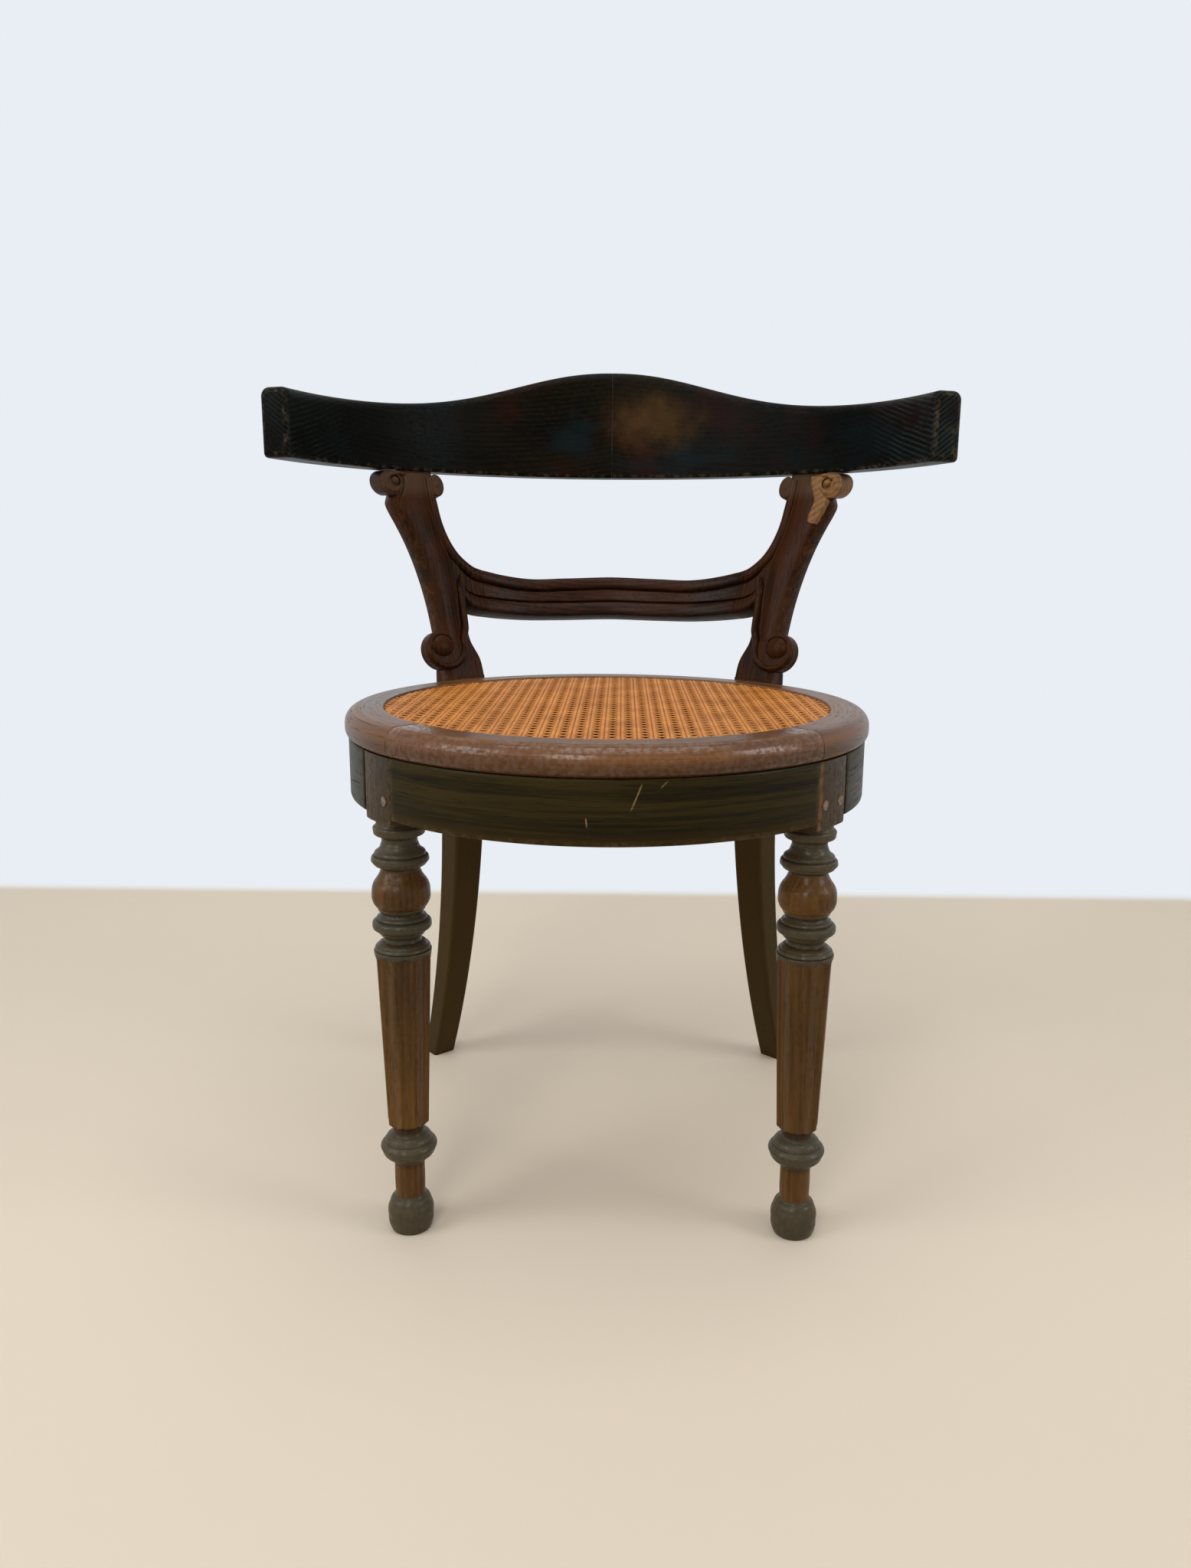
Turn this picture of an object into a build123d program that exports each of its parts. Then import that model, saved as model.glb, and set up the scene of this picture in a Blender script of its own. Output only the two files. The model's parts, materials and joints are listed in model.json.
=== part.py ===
from build123d import *
import os
from math import cos, degrees, radians, sin, sqrt, tan

# A round-seated wooden chair with a caned seat: two turned front legs, two rear legs that
# run on as carved uprights, a yoke-shaped crest rail and a moulded rail across the back.
# Millimetres, Z up, the sitter faces -Y. Azimuths run from the front (-Y) towards +X.

# Seat
seat_height = 460.0
seat_ring_radius = 239.0
seat_ring_width = 35.0
seat_ring_thickness = 25.0
cane_ledge_width = 13.0
cane_recess = 3.5
cane_thickness = 2.5
cane_openings_across = 12
cane_opening_share = 0.5
cane_margin = 4.0
ring_nose_radius = 12.0
ring_under_radius = 6.0
front_ring_joint = 47.0

# Rails under the ring
rail_inset = 3.0
rail_thickness = 22.0
rail_height = 52.0
rail_tenon_thickness = 8.0
rail_tenon_length = 17.0
rail_tenon_shoulder = 9.0

# Turned front legs
front_leg_azimuth = 52.75
front_leg_inset = 23.0
front_block_side = 48.0
front_block_drop = 6.0
neck_radius = 15.0
collar_radius = 24.0
ball_radius = 24.5
shaft_top_radius = 24.0
shaft_foot_radius = 18.5
ankle_radius = 13.0
foot_radius = 19.5
foot_contact_radius = 12.5
foot_height = 33.0
ankle_height = 35.0
lower_collar_height = 29.0
lower_neck_height = 7.5
upper_neck_height = 15.0
upper_collar_height = 40.5
ring_bead_height = 26.0
ball_height = 36.0
quirk = 1.5
plinth_radius = 21.0
plinth_height = 9.0
flute_count = 8
flute_depth = 2.2
flute_share = 0.55
flute_head_drop = 10.0
flute_run_out = 4.0

# Rear legs, one piece each from the floor to the crest
rear_leg_azimuth = 139.0
rear_leg_sweep = 66.0
rear_leg_width = 38.0
rear_leg_depth = 31.0
rear_foot_width = 27.0
rear_foot_depth = 24.0
rear_block_width = 43.0
post_depth = 30.0
post_shoulder = 2.0
ring_notch = 10.0
post_rise = 12.0

# Carved uprights and the rail between them
back_height = 215.5
back_lean = 17.0
back_thickness = 23.0
upright_top_reach = 51.0
upright_top_inset = 2.0
upright_swell = 37.0
upright_bow = 4.0
upright_sweep_start = 55.0
upright_neck = 9.0
upright_neck_level = 50.0
flare_rise = 15.0
armpit_place = 13.0
armpit_rise = 13.0
scroll_top_radius = 13.5
scroll_top_drop = 2.0
scroll_top_out = 47.0
scroll_inner_radius = 8.0
scroll_inner_drop = 7.0
scroll_inner_place = 2.5
scroll_foot_radius = 20.0
scroll_foot_out = 14.5
scroll_foot_level = 41.0
scroll_relief = 2.0
scroll_eye_radius = 7.0
repair_width = 27.0
repair_drop = 53.0
bead_width = 13.0
foot_band_width = 16.0
groove_width = 2.0
groove_depth = 1.6
back_rail_joint = 40.0
back_rail_top = 108.0
back_rail_bottom = 66.0
back_rail_end_rise = 11.0
back_rail_crown = 3.0
back_rail_foot_rise = 6.5
back_rail_dip_share = 0.6
back_tenon_thickness = 9.0
back_tenon_length = 18.0
back_tenon_shoulder = 8.0
back_tenon_root = 3.0

# Crest rail
crest_overhang = 83.0
crest_thickness = 30.0
crest_centre_back = -25.0
crest_half_angle = 75.0
crest_tilt = 1.4
crest_height_centre = 114.5
crest_height_shoulder = 79.0
crest_height_end = 64.0
crest_shoulder_x = 169.0
crest_edge = 5.0
crest_tenon_width = 22.0
crest_tenon_place = -11.0

# Hidden joinery
joint_gap = 0.1
tongue_thickness = 5.0
tongue_width = 14.0
tongue_length = 24.0
crest_tongue_length = 36.0
crest_tongue_thickness = 8.0
crest_tongue_height = 60.0
peg_radius = 4.2
peg_length = 27.0
peg_inset = 11.0
peg_rise = 15.0
peg_proud = 0.3
corner_block_depth = 22.0
corner_block_height = 35.0
corner_block_inner = 88.0
corner_block_outer = 124.0
screw_shank_radius = 2.0
screw_head_radius = 4.0
screw_head_height = 2.6
rail_screw_offset = 30.0
rail_screw_bite = 8.0
ring_screw_offset = 40.0
ring_screw_bite = 13.0

# Levels and radii that follow from the sizes above
ring_bottom = seat_height - seat_ring_thickness
rail_bottom = ring_bottom - rail_height
cane_opening_radius = seat_ring_radius - seat_ring_width
front_leg_radius = seat_ring_radius - front_leg_inset
rail_outer_radius = seat_ring_radius - rail_inset
rail_inner_radius = rail_outer_radius - rail_thickness
front_block_bottom = rail_bottom - front_block_drop
post_inner_radius = seat_ring_radius - ring_notch
post_outer_radius = post_inner_radius + post_depth
cane_top = seat_height - cane_recess
cane_bottom = cane_top - cane_thickness
crest_bottom = seat_height + back_height
crest_inner_radius = post_inner_radius + crest_overhang
crest_outer_radius = crest_inner_radius + crest_thickness
crest_back = crest_centre_back + crest_outer_radius
rear_azimuth_from_back = 180.0 - rear_leg_azimuth


def at(azimuth, shape):
    """A shape drawn at the front of the seat, carried round to an azimuth."""
    return Rot(0, 0, azimuth) * shape


def sector(inner, outer, bottom, top, start, end):
    """An arc of a ring of rectangular section between two azimuths."""
    section = Plane.XZ * Pos((inner + outer) / 2, (bottom + top) / 2) * Rectangle(outer - inner, top - bottom)
    return revolve(Rot(0, 0, start - 90) * section, Axis.Z, end - start)


def slab(x0, x1, y0, y1, z0, z1):
    """A box between two corners."""
    return Pos((x0 + x1) / 2, (y0 + y1) / 2, (z0 + z1) / 2) * Box(x1 - x0, y1 - y0, z1 - z0)


def mirrored(shape):
    """The same piece for the other side of the chair."""
    return mirror(shape, about=Plane.YZ)


# Rails: arcs of one circle, shouldered against the leg blocks, with thinner tenons at both ends
tenon_bottom = rail_bottom + rail_tenon_shoulder
tenon_top = ring_bottom - rail_tenon_shoulder
tenon_mid_radius = rail_outer_radius - rail_thickness / 2
tenon_search = 20.0


def rail_tenon(azimuth, half_width, side, gap):
    """The tenon that enters a leg block from one side, optionally enlarged to cut its mortise."""
    reach = sector(
        tenon_mid_radius - rail_tenon_thickness / 2 - gap,
        tenon_mid_radius + rail_tenon_thickness / 2 + gap,
        tenon_bottom - gap,
        tenon_top + gap,
        azimuth - tenon_search,
        azimuth + tenon_search,
    )
    near = half_width - rail_tenon_length - gap
    far = half_width + 2 * joint_gap + gap
    window = slab(
        min(side * near, side * far), max(side * near, side * far), -2 * seat_ring_radius, 0, 0, seat_height
    )
    return reach & at(azimuth, window)


def block_space(azimuth, half_width):
    """The room that a leg block takes out of the run of rails."""
    return at(azimuth, slab(
        -half_width - joint_gap, half_width + joint_gap, -2 * seat_ring_radius, 0, 0, seat_height
    ))


def rail(start, start_half, end, end_half):
    """One rail from the leg at the start azimuth to the leg at the end azimuth."""
    arc = sector(rail_inner_radius, rail_outer_radius, rail_bottom, ring_bottom, start, end)
    arc = arc - block_space(start, start_half) - block_space(end, end_half)
    return arc + rail_tenon(start, start_half, 1, 0) + rail_tenon(end, end_half, -1, 0)


front_half = front_block_side / 2
rear_half = rear_block_width / 2
front_rail = rail(-front_leg_azimuth, front_half, front_leg_azimuth, front_half)
side_rail_right = rail(front_leg_azimuth, front_half, rear_leg_azimuth, rear_half)
rear_rail = rail(rear_leg_azimuth, rear_half, 360 - rear_leg_azimuth, rear_half)

# Front legs: turned below a square block that the rails enter from two sides
foot_top = foot_height
ankle_top = foot_top + ankle_height
shaft_bottom = ankle_top + lower_collar_height + lower_neck_height
turned_top = front_block_bottom
ball_top = turned_top - upper_collar_height
bead_top = ball_top - ball_height
bead_bottom = bead_top - ring_bead_height
shaft_top = bead_bottom - upper_neck_height
shaft_height = shaft_top - shaft_bottom


class Turning:
    """A lathe profile, drawn upwards from the floor as straight and arched stretches."""

    def __init__(self, radius):
        self.edges = [Line((0, 0), (radius, 0))]
        self.tip = (radius, 0)

    def to(self, radius, height, bulge=0):
        """Cut on to a radius and height, arching outwards by the bulge or inwards if negative."""
        (r0, z0), (r1, z1) = self.tip, (radius, height)
        span = sqrt((r1 - r0) ** 2 + (z1 - z0) ** 2)
        across = ((z1 - z0) / span, (r0 - r1) / span)
        middle = ((r0 + r1) / 2 + across[0] * bulge, (z0 + z1) / 2 + across[1] * bulge)
        straight = Line(self.tip, (radius, height))
        self.edges.append(ThreePointArc(self.tip, middle, (radius, height)) if bulge else straight)
        self.tip = (radius, height)

    def solid(self):
        """Close the profile on the axis and turn it."""
        radius, height = self.tip
        closing = [Line((radius, height), (0, height)), Line((0, height), (0, 0))]
        return revolve(Plane.XZ * make_face(self.edges + closing), Axis.Z)


def turned_leg():
    """Ball foot, ankle, collar, tapered shaft, ring bead, vase-shaped ball, collar and plinth ring."""
    leg = Turning(foot_contact_radius)
    leg.to(foot_radius, foot_height * 0.45, 2 * quirk)
    leg.to(ankle_radius, foot_top, 3 * quirk)
    leg.to(ankle_radius, ankle_top - 2 * quirk)
    leg.to(ankle_radius + 2 * quirk, ankle_top, -quirk / 2)
    collar_mid = ankle_top + lower_collar_height * 0.48
    leg.to(collar_radius - quirk, collar_mid - 4 * quirk, -quirk)
    leg.to(collar_radius - quirk, collar_mid + 2.5 * quirk, 2 * quirk)
    leg.to(neck_radius + 2.5 * quirk, ankle_top + lower_collar_height - quirk, quirk)
    leg.to(neck_radius, ankle_top + lower_collar_height, -quirk / 2)
    leg.to(neck_radius, shaft_bottom)
    leg.to(shaft_foot_radius, shaft_bottom + 2 * quirk, quirk / 2)
    leg.to(shaft_top_radius, shaft_top - 4 * quirk)
    leg.to(shaft_top_radius - quirk, shaft_top - 3 * quirk)
    leg.to(neck_radius + quirk, shaft_top + 3 * quirk, 2 * quirk)
    leg.to(neck_radius, bead_bottom, -quirk)
    leg.to(collar_radius - quirk / 2, bead_bottom + ring_bead_height * 0.38, -quirk / 2)
    leg.to(collar_radius - quirk / 2, bead_bottom + ring_bead_height * 0.6, quirk)
    leg.to(collar_radius - 2.5 * quirk, bead_bottom + ring_bead_height * 0.72, -quirk / 2)
    leg.to(neck_radius + 2 * quirk, bead_top, quirk)
    leg.to(ball_radius, bead_top + ball_height * 0.4, 3 * quirk)
    leg.to(neck_radius + 3 * quirk, ball_top - 5 * quirk, 1.6 * quirk)
    leg.to(neck_radius + quirk, ball_top, -quirk / 2)
    collar_low = ball_top + 2.5 * quirk
    leg.to(collar_radius - quirk / 2, collar_low)
    leg.to(collar_radius - quirk / 2, collar_low + 3.5 * quirk, quirk)
    leg.to(neck_radius, turned_top - plinth_height - 2 * quirk, -quirk)
    leg.to(neck_radius, turned_top - plinth_height)
    leg.to(plinth_radius, turned_top - plinth_height + 2 * quirk, -quirk / 2)
    leg.to(plinth_radius, turned_top)
    return leg.solid()


def flute_cutter():
    """A long shallow hollow down the tapered shaft, with a rounded head under the shoulder."""
    head = shaft_top - flute_head_drop
    foot = shaft_bottom - flute_run_out
    slope = (shaft_top_radius - shaft_foot_radius) / shaft_height
    bore_head = shaft_top_radius * flute_share
    bore_foot = shaft_foot_radius * flute_share
    reach_head = shaft_top_radius - flute_depth + bore_head
    reach_foot = shaft_foot_radius - slope * flute_run_out - flute_depth + bore_foot
    hollow = loft([
        Pos(reach_foot, 0, foot) * Circle(bore_foot),
        Pos(reach_head, 0, head - bore_head * 0.5) * Circle(bore_head),
    ])
    return hollow + Pos(reach_head, 0, head - bore_head * 0.5) * Sphere(bore_head)


front_leg_turned = turned_leg()
for flute in range(flute_count):
    front_leg_turned = front_leg_turned - Rot(0, 0, 360 * flute / flute_count) * flute_cutter()
front_block = slab(
    -front_half, front_half, -front_leg_radius - front_half, -front_leg_radius + front_half,
    front_block_bottom, ring_bottom - joint_gap,
)
front_block = front_block & Pos(0, 0, seat_height / 2) * Cylinder(rail_outer_radius, seat_height)
front_leg_right = at(front_leg_azimuth, front_block + Pos(0, -front_leg_radius, 0) * front_leg_turned)
for side in (-1, 1):
    front_leg_right = front_leg_right - rail_tenon(front_leg_azimuth, front_half, side, joint_gap)

# Rear legs: a curved leg, a block for the rails, a short post through the ring and the carved upright
rear_leg_top = rail_bottom
leg_mid_radius = (post_inner_radius + post_outer_radius) / 2
sabre_radius = (rear_leg_top ** 2 + rear_leg_sweep ** 2) / (2 * rear_leg_sweep)


def sabre_section(share):
    """The leg's section at a share of its length down from the rails, along the circular sweep."""
    drop = rear_leg_top * share
    out = sabre_radius - sqrt(sabre_radius ** 2 - drop ** 2)
    width = rear_leg_width + (rear_foot_width - rear_leg_width) * share
    depth = rear_leg_depth + (rear_foot_depth - rear_leg_depth) * share
    return Pos(0, -leg_mid_radius - out, rear_leg_top - drop) * Rectangle(width, depth)


upright_plane = Plane(
    origin=(0, -post_inner_radius, seat_height),
    x_dir=(1, 0, 0),
    z_dir=(0, -cos(radians(back_lean)), -sin(radians(back_lean))),
)
crest_plane = Plane(
    origin=(0, crest_back, crest_bottom),
    x_dir=(1, 0, 0),
    z_dir=(0, sin(radians(crest_tilt)), cos(radians(crest_tilt))),
)
upright_reach = back_height / cos(radians(back_lean))
scroll_top_place = (-scroll_top_out, upright_reach - scroll_top_radius - scroll_top_drop)
scroll_curl_place = (scroll_inner_place, upright_reach - scroll_inner_radius - scroll_inner_drop)
scroll_foot_place = (-scroll_foot_out, scroll_foot_level)
rail_end_top = back_rail_top + back_rail_end_rise
rail_end_bottom = back_rail_bottom + back_rail_foot_rise
armpit_level = rail_end_bottom + armpit_rise
swell_level = (upright_reach + rail_end_top) / 2 - upright_neck
flare_level = rail_end_top + flare_rise
waist_level = rail_end_bottom + armpit_rise / 2
post_half = rear_block_width / 2
post_inner_half = post_half - post_shoulder
upright_top_level = upright_reach - scroll_top_radius - scroll_inner_radius


def inner_edge(inset):
    """The line from the top of an upright down into the flare of the back rail, inset from the edge."""
    return Spline(
        (-upright_top_inset - inset, upright_top_level),
        (upright_bow - inset, swell_level),
        (flare_rise - inset * 0.7, flare_level - inset * 0.7),
        (back_rail_joint, rail_end_top - inset),
        tangents=((0, -1), (1, -0.2)),
    )


def upright_outline():
    """The board's outline: inner edge flaring into the back rail, outer edge sweeping up to the scrolls."""
    top = upright_reach + back_thickness
    under = Spline(
        (back_rail_joint, rail_end_bottom),
        ((back_rail_joint + armpit_place) / 2, rail_end_bottom + armpit_rise * 0.35),
        (armpit_place, armpit_level),
        tangents=((-1, 0.1), (-0.5, 1)),
    )
    neck = Spline(
        (armpit_place, armpit_level), (upright_neck, upright_neck_level), (post_inner_half, post_rise),
        tangents=((-0.3, -1), (0.6, -1)),
    )
    outer = Spline(
        (-post_half, upright_sweep_start),
        (-post_half - post_shoulder, waist_level),
        (-upright_swell, swell_level),
        (-upright_top_reach, upright_top_level),
        tangents=((0, 1), (-0.3, 1)),
    )
    return make_face([
        Line((-upright_top_reach, top), (-upright_top_inset, top)),
        Line((-upright_top_inset, top), (-upright_top_inset, upright_top_level)),
        inner_edge(0),
        Line((back_rail_joint, rail_end_top), (back_rail_joint, rail_end_bottom)),
        under,
        neck,
        Line((post_inner_half, post_rise), (post_inner_half, 0)),
        Line((post_inner_half, 0), (-post_half, 0)),
        Line((-post_half, 0), (-post_half, upright_sweep_start)),
        outer,
        Line((-upright_top_reach, upright_top_level), (-upright_top_reach, top)),
    ])


def on_upright(flat, start, depth):
    """A flat shape on the upright's face, carried from a depth behind the face to another."""
    lifted = upright_plane.offset(start) * flat
    return extrude(lifted, amount=depth, dir=upright_plane.z_dir)


def scroll(place, radius):
    """A scroll's disc standing proud of the board, with a groove round a proud eye."""
    eye = min(scroll_eye_radius, radius / 2)
    disc = on_upright(Pos(*place) * Circle(radius), -scroll_relief, back_thickness + scroll_relief)
    ring = Circle(eye + groove_width) - Circle(eye)
    disc = disc - on_upright(Pos(*place) * ring, -scroll_relief, groove_depth)
    return disc + on_upright(Pos(*place) * Circle(eye), -2 * scroll_relief, back_thickness)


def bead_groove():
    """The groove that sets off the bead along the inner edge, from the top into the back rail."""
    far = inner_edge(bead_width + groove_width)
    near = inner_edge(bead_width)
    strip = make_face([near, Line(near @ 1, far @ 1), far, Line(far @ 0, near @ 0)])
    return on_upright(strip, -scroll_relief, scroll_relief + groove_depth)


def tenon_board(x0, x1, y0, y1, gap):
    """A tenon in the thickness of the board, between two distances along and up it."""
    depth = back_tenon_thickness + 2 * gap
    flat = Pos((x0 + x1) / 2, (y0 + y1) / 2) * Rectangle(x1 - x0 + 2 * gap, y1 - y0 + 2 * gap)
    return on_upright(flat, (back_thickness - depth) / 2, depth)


def crest_tenon(gap):
    """The tenon on top of an upright that enters the crest from below."""
    return tenon_board(
        crest_tenon_place - crest_tenon_width / 2,
        crest_tenon_place + crest_tenon_width / 2,
        upright_reach - back_tenon_length,
        upright_reach + back_tenon_length,
        gap,
    )


def back_rail_tenon(gap):
    """The tenon of the back rail in the flare of an upright."""
    return tenon_board(
        back_rail_joint - back_tenon_length,
        back_rail_joint + back_tenon_root,
        rail_end_bottom + back_tenon_shoulder,
        rail_end_top - bead_width,
        gap,
    )


def rear_leg():
    """The right rear leg, drawn at the front of the seat, without the mortises of the rails."""
    leg = loft([sabre_section(share / 4) for share in range(5)])
    block = slab(
        -post_half, post_half, -post_outer_radius, -rail_inner_radius,
        rail_bottom, ring_bottom - joint_gap,
    )
    post = slab(
        -post_half, post_inner_half, -post_outer_radius, -post_inner_radius,
        rail_bottom, seat_height + post_rise,
    )
    upright = on_upright(upright_outline(), 0, back_thickness) - bead_groove()
    room = 2 * crest_outer_radius
    upright = upright & slab(-room, room, -room, 0, seat_height, seat_height + room)
    upright = upright + scroll(scroll_top_place, scroll_top_radius)
    upright = upright + scroll(scroll_curl_place, scroll_inner_radius)
    upright = upright + scroll(scroll_foot_place, scroll_foot_radius)
    return leg + block + post + upright - back_rail_tenon(joint_gap)


under_crest = crest_plane.offset(-joint_gap)
rear_leg_right = split(at(rear_leg_azimuth, rear_leg()), bisect_by=under_crest, keep=Keep.BOTTOM)
rear_leg_right = rear_leg_right + at(rear_leg_azimuth, crest_tenon(0))
for side in (-1, 1):
    rear_leg_right = rear_leg_right - rail_tenon(rear_leg_azimuth, rear_half, side, joint_gap)
rear_leg_left = mirrored(rear_leg_right)

# The glued repair on the right upright: the outer scroll and a wedge of wood below it
patch_top = upright_reach + back_thickness
patch_out = scroll_top_out + 2 * scroll_top_radius
patch_in = patch_out - scroll_top_radius - repair_width
patch_foot = upright_reach - repair_drop
patch_cut = on_upright(
    make_face(Polyline(
        (-patch_out, patch_top),
        (-patch_in, patch_top),
        (-patch_in, upright_reach - scroll_top_radius),
        (-patch_in - repair_width / 3, patch_foot + repair_width / 3),
        (-patch_out, patch_foot),
        close=True,
    )),
    -back_thickness, 3 * back_thickness,
)
patch_space = at(rear_leg_azimuth, patch_cut)
scroll_repair = rear_leg_right & patch_space
rear_leg_right = rear_leg_right - patch_space

# Back rail: a bowed, leaning moulding that continues the flares of the two uprights
rail_axis_y = back_rail_joint / sin(radians(rear_azimuth_from_back))
rail_base_radius = post_inner_radius - back_rail_joint / tan(radians(rear_azimuth_from_back))
lean_out = sin(radians(back_lean))
lean_up = cos(radians(back_lean))


def lean_point(up, deep):
    """Radius and height of a point of the rail's section, up its face and deep behind it."""
    return (rail_base_radius + up * lean_out + deep * lean_up, seat_height + up * lean_up - deep * lean_out)


def rail_sweep(low, high, front, back):
    """A leaning band of the back rail, bowed about the rail's axis."""
    corners = [lean_point(low, front), lean_point(high, front), lean_point(high, back), lean_point(low, back)]
    section = Plane.XZ * make_face(Polyline(*corners, close=True))
    half = rear_azimuth_from_back - joint_gap / 2
    bowed = revolve(Rot(0, 0, 90 - half) * section, Axis.Z, 2 * half)
    return Pos(0, rail_axis_y, 0) * bowed


def beyond_line(up, crown, end_rise, side):
    """Everything above (side 1) or below (side -1) a wavy line along the rail's face, at a height up it."""
    middle_radius = rail_base_radius + up * lean_out
    half_angle = radians(rear_azimuth_from_back)
    end_x = middle_radius * sin(half_angle)
    end_back = middle_radius * (1 - cos(half_angle))
    level = seat_height + up * lean_up
    ends = level + end_rise * lean_up - end_back * tan(radians(back_lean))
    quarter_x = middle_radius * sin(half_angle * back_rail_dip_share)
    quarter_back = middle_radius * (1 - cos(half_angle * back_rail_dip_share))
    quarter = level - quarter_back * tan(radians(back_lean))
    edge = Spline(
        (-end_x, ends), (-quarter_x, quarter), (0, level + crown), (quarter_x, quarter), (end_x, ends)
    )
    far = level + side * seat_height
    past = end_x + back_thickness
    face = make_face([
        edge,
        Line((end_x, ends), (past, ends)),
        Line((past, ends), (past, far)),
        Line((past, far), (-past, far)),
        Line((-past, far), (-past, ends)),
        Line((-past, ends), (-end_x, ends)),
    ])
    start = Plane(origin=(0, rail_axis_y + middle_radius, 0), x_dir=(1, 0, 0), z_dir=(0, -1, 0))
    along = Vector(0, -lean_up, lean_out)
    forward = extrude(start * face, amount=seat_height, dir=along)
    return forward + extrude(start * face, amount=-seat_height, dir=along)


def above_rail(drop):
    """Everything over the rail's wavy top edge, or over a line that follows it lower down."""
    return beyond_line(back_rail_top - drop, back_rail_crown, back_rail_end_rise, 1)


def below_rail(rise):
    """Everything under the rail's wavy foot, or under a line that follows it higher up."""
    return beyond_line(back_rail_bottom + rise, 0, back_rail_foot_rise, -1)


rail_low = back_rail_bottom - back_rail_foot_rise
rail_high = rail_end_top + back_rail_end_rise
lower_back_rail = rail_sweep(rail_low, rail_high, 0, back_thickness) - above_rail(0) - below_rail(0)
rail_skin = rail_sweep(rail_low, rail_high, -groove_depth, groove_depth)
bead_cut = (rail_skin & above_rail(bead_width + groove_width)) - above_rail(bead_width)
foot_cut = (rail_skin & below_rail(foot_band_width + groove_width)) - below_rail(foot_band_width)
lower_back_rail = lower_back_rail - bead_cut - foot_cut
tenon_right = at(rear_leg_azimuth, back_rail_tenon(0))
lower_back_rail = lower_back_rail + tenon_right + mirrored(tenon_right)

# Seat ring: four bullnosed arcs, butted at the front and over the rear posts, rebated for the cane
ledge_radius = cane_opening_radius - cane_ledge_width


def ring_section():
    """Half section of the ring: flat seat, rounded nose, eased underside and a rebate for the cane."""
    nose_level = seat_height - ring_nose_radius
    under_level = ring_bottom + ring_under_radius
    under_inset = seat_ring_radius - ring_under_radius / 2
    nose_inset = seat_ring_radius - ring_nose_radius
    return make_face([
        Line((ledge_radius, ring_bottom), (ledge_radius, cane_bottom)),
        Line((ledge_radius, cane_bottom), (cane_opening_radius, cane_bottom)),
        Line((cane_opening_radius, cane_bottom), (cane_opening_radius, seat_height)),
        Line((cane_opening_radius, seat_height), (nose_inset, seat_height)),
        RadiusArc((nose_inset, seat_height), (seat_ring_radius, nose_level), ring_nose_radius),
        Line((seat_ring_radius, nose_level), (seat_ring_radius, under_level)),
        Line((seat_ring_radius, under_level), (under_inset, ring_bottom)),
        Line((under_inset, ring_bottom), (ledge_radius, ring_bottom)),
    ])


tongue_mid = (ledge_radius + post_inner_radius) / 2
tongue_level = (ring_bottom + cane_bottom) / 2


def ring_tongue(azimuth, gap):
    """A loose tongue across a joint of the ring."""
    return at(azimuth, Pos(0, -tongue_mid, tongue_level) * Box(
        tongue_length + 2 * gap, tongue_width + 2 * gap, tongue_thickness + 2 * gap
    ))


def post_notch(azimuth):
    """The notch that lets a rear post through the ring."""
    return at(azimuth, slab(
        -post_half - joint_gap, post_half + joint_gap, -post_outer_radius, -post_inner_radius + joint_gap,
        rail_bottom, seat_height + post_rise,
    ))


ring_joints = (front_ring_joint, rear_leg_azimuth, 360 - rear_leg_azimuth, 360 - front_ring_joint)


def ring_arc(start, end):
    """One segment of the seat ring, slotted for its tongues and notched round the posts."""
    gap_angle = degrees(joint_gap / seat_ring_radius)
    first_section = Rot(0, 0, start - 90 + gap_angle / 2) * (Plane.XZ * ring_section())
    arc = revolve(first_section, Axis.Z, end - start - gap_angle)
    for azimuth in ring_joints:
        arc = arc - ring_tongue(azimuth, joint_gap)
    for azimuth in (rear_leg_azimuth, 360 - rear_leg_azimuth):
        arc = arc - post_notch(azimuth)
    return arc


seat_ring_front = ring_arc(-front_ring_joint, front_ring_joint)
seat_ring_right = ring_arc(front_ring_joint, rear_leg_azimuth)
seat_ring_back = ring_arc(rear_leg_azimuth, 360 - rear_leg_azimuth)
ring_tongues = Compound([ring_tongue(azimuth, 0) for azimuth in ring_joints])

# Cane: a thin woven sheet let into the rebate, open between its strands in a grid of octagons
cane_pitch = 2 * ledge_radius / cane_openings_across
cane_opening_half = cane_pitch * cane_opening_share / 2
cane_opening = RegularPolygon(cane_opening_half, 8, major_radius=False, rotation=22.5)


def within_ledge(place):
    """Whether a whole opening fits inside the ring's ledge, with a margin to spare."""
    corner = cane_opening_half / cos(radians(22.5))
    return place.position.length + corner + cane_margin < ledge_radius


cane_grid = GridLocations(cane_pitch, cane_pitch, cane_openings_across, cane_openings_across)
cane_sheet = Circle(cane_opening_radius - joint_gap)
cane_sheet = cane_sheet - [place * cane_opening for place in cane_grid if within_ledge(place)]
cane_panel = Pos(0, 0, cane_bottom) * extrude(cane_sheet, amount=cane_thickness)

# Crest rail: a bowed plank with a raised middle, in two halves glued at the centre
crest_blank = extrude(
    Circle(crest_outer_radius) - Circle(crest_inner_radius), amount=crest_height_centre + crest_edge
)


def crest_outline():
    """Front view of the crest: flat below, raised in the middle, sinking to level shoulders and ends."""
    reach = crest_outer_radius + crest_thickness
    drop = crest_outer_radius * sin(radians(crest_half_angle))
    half = Spline(
        (0, crest_height_centre), (crest_shoulder_x * 0.6, (crest_height_centre + crest_height_shoulder) / 2),
        (crest_shoulder_x, crest_height_shoulder), (drop, crest_height_end), (reach, crest_height_end),
        tangents=((1, 0), (1, 0)),
    )
    return make_face([
        half,
        Line((reach, crest_height_end), (reach, 0)),
        Line((reach, 0), (0, 0)),
        Line((0, 0), (0, crest_height_centre)),
    ])


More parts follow.
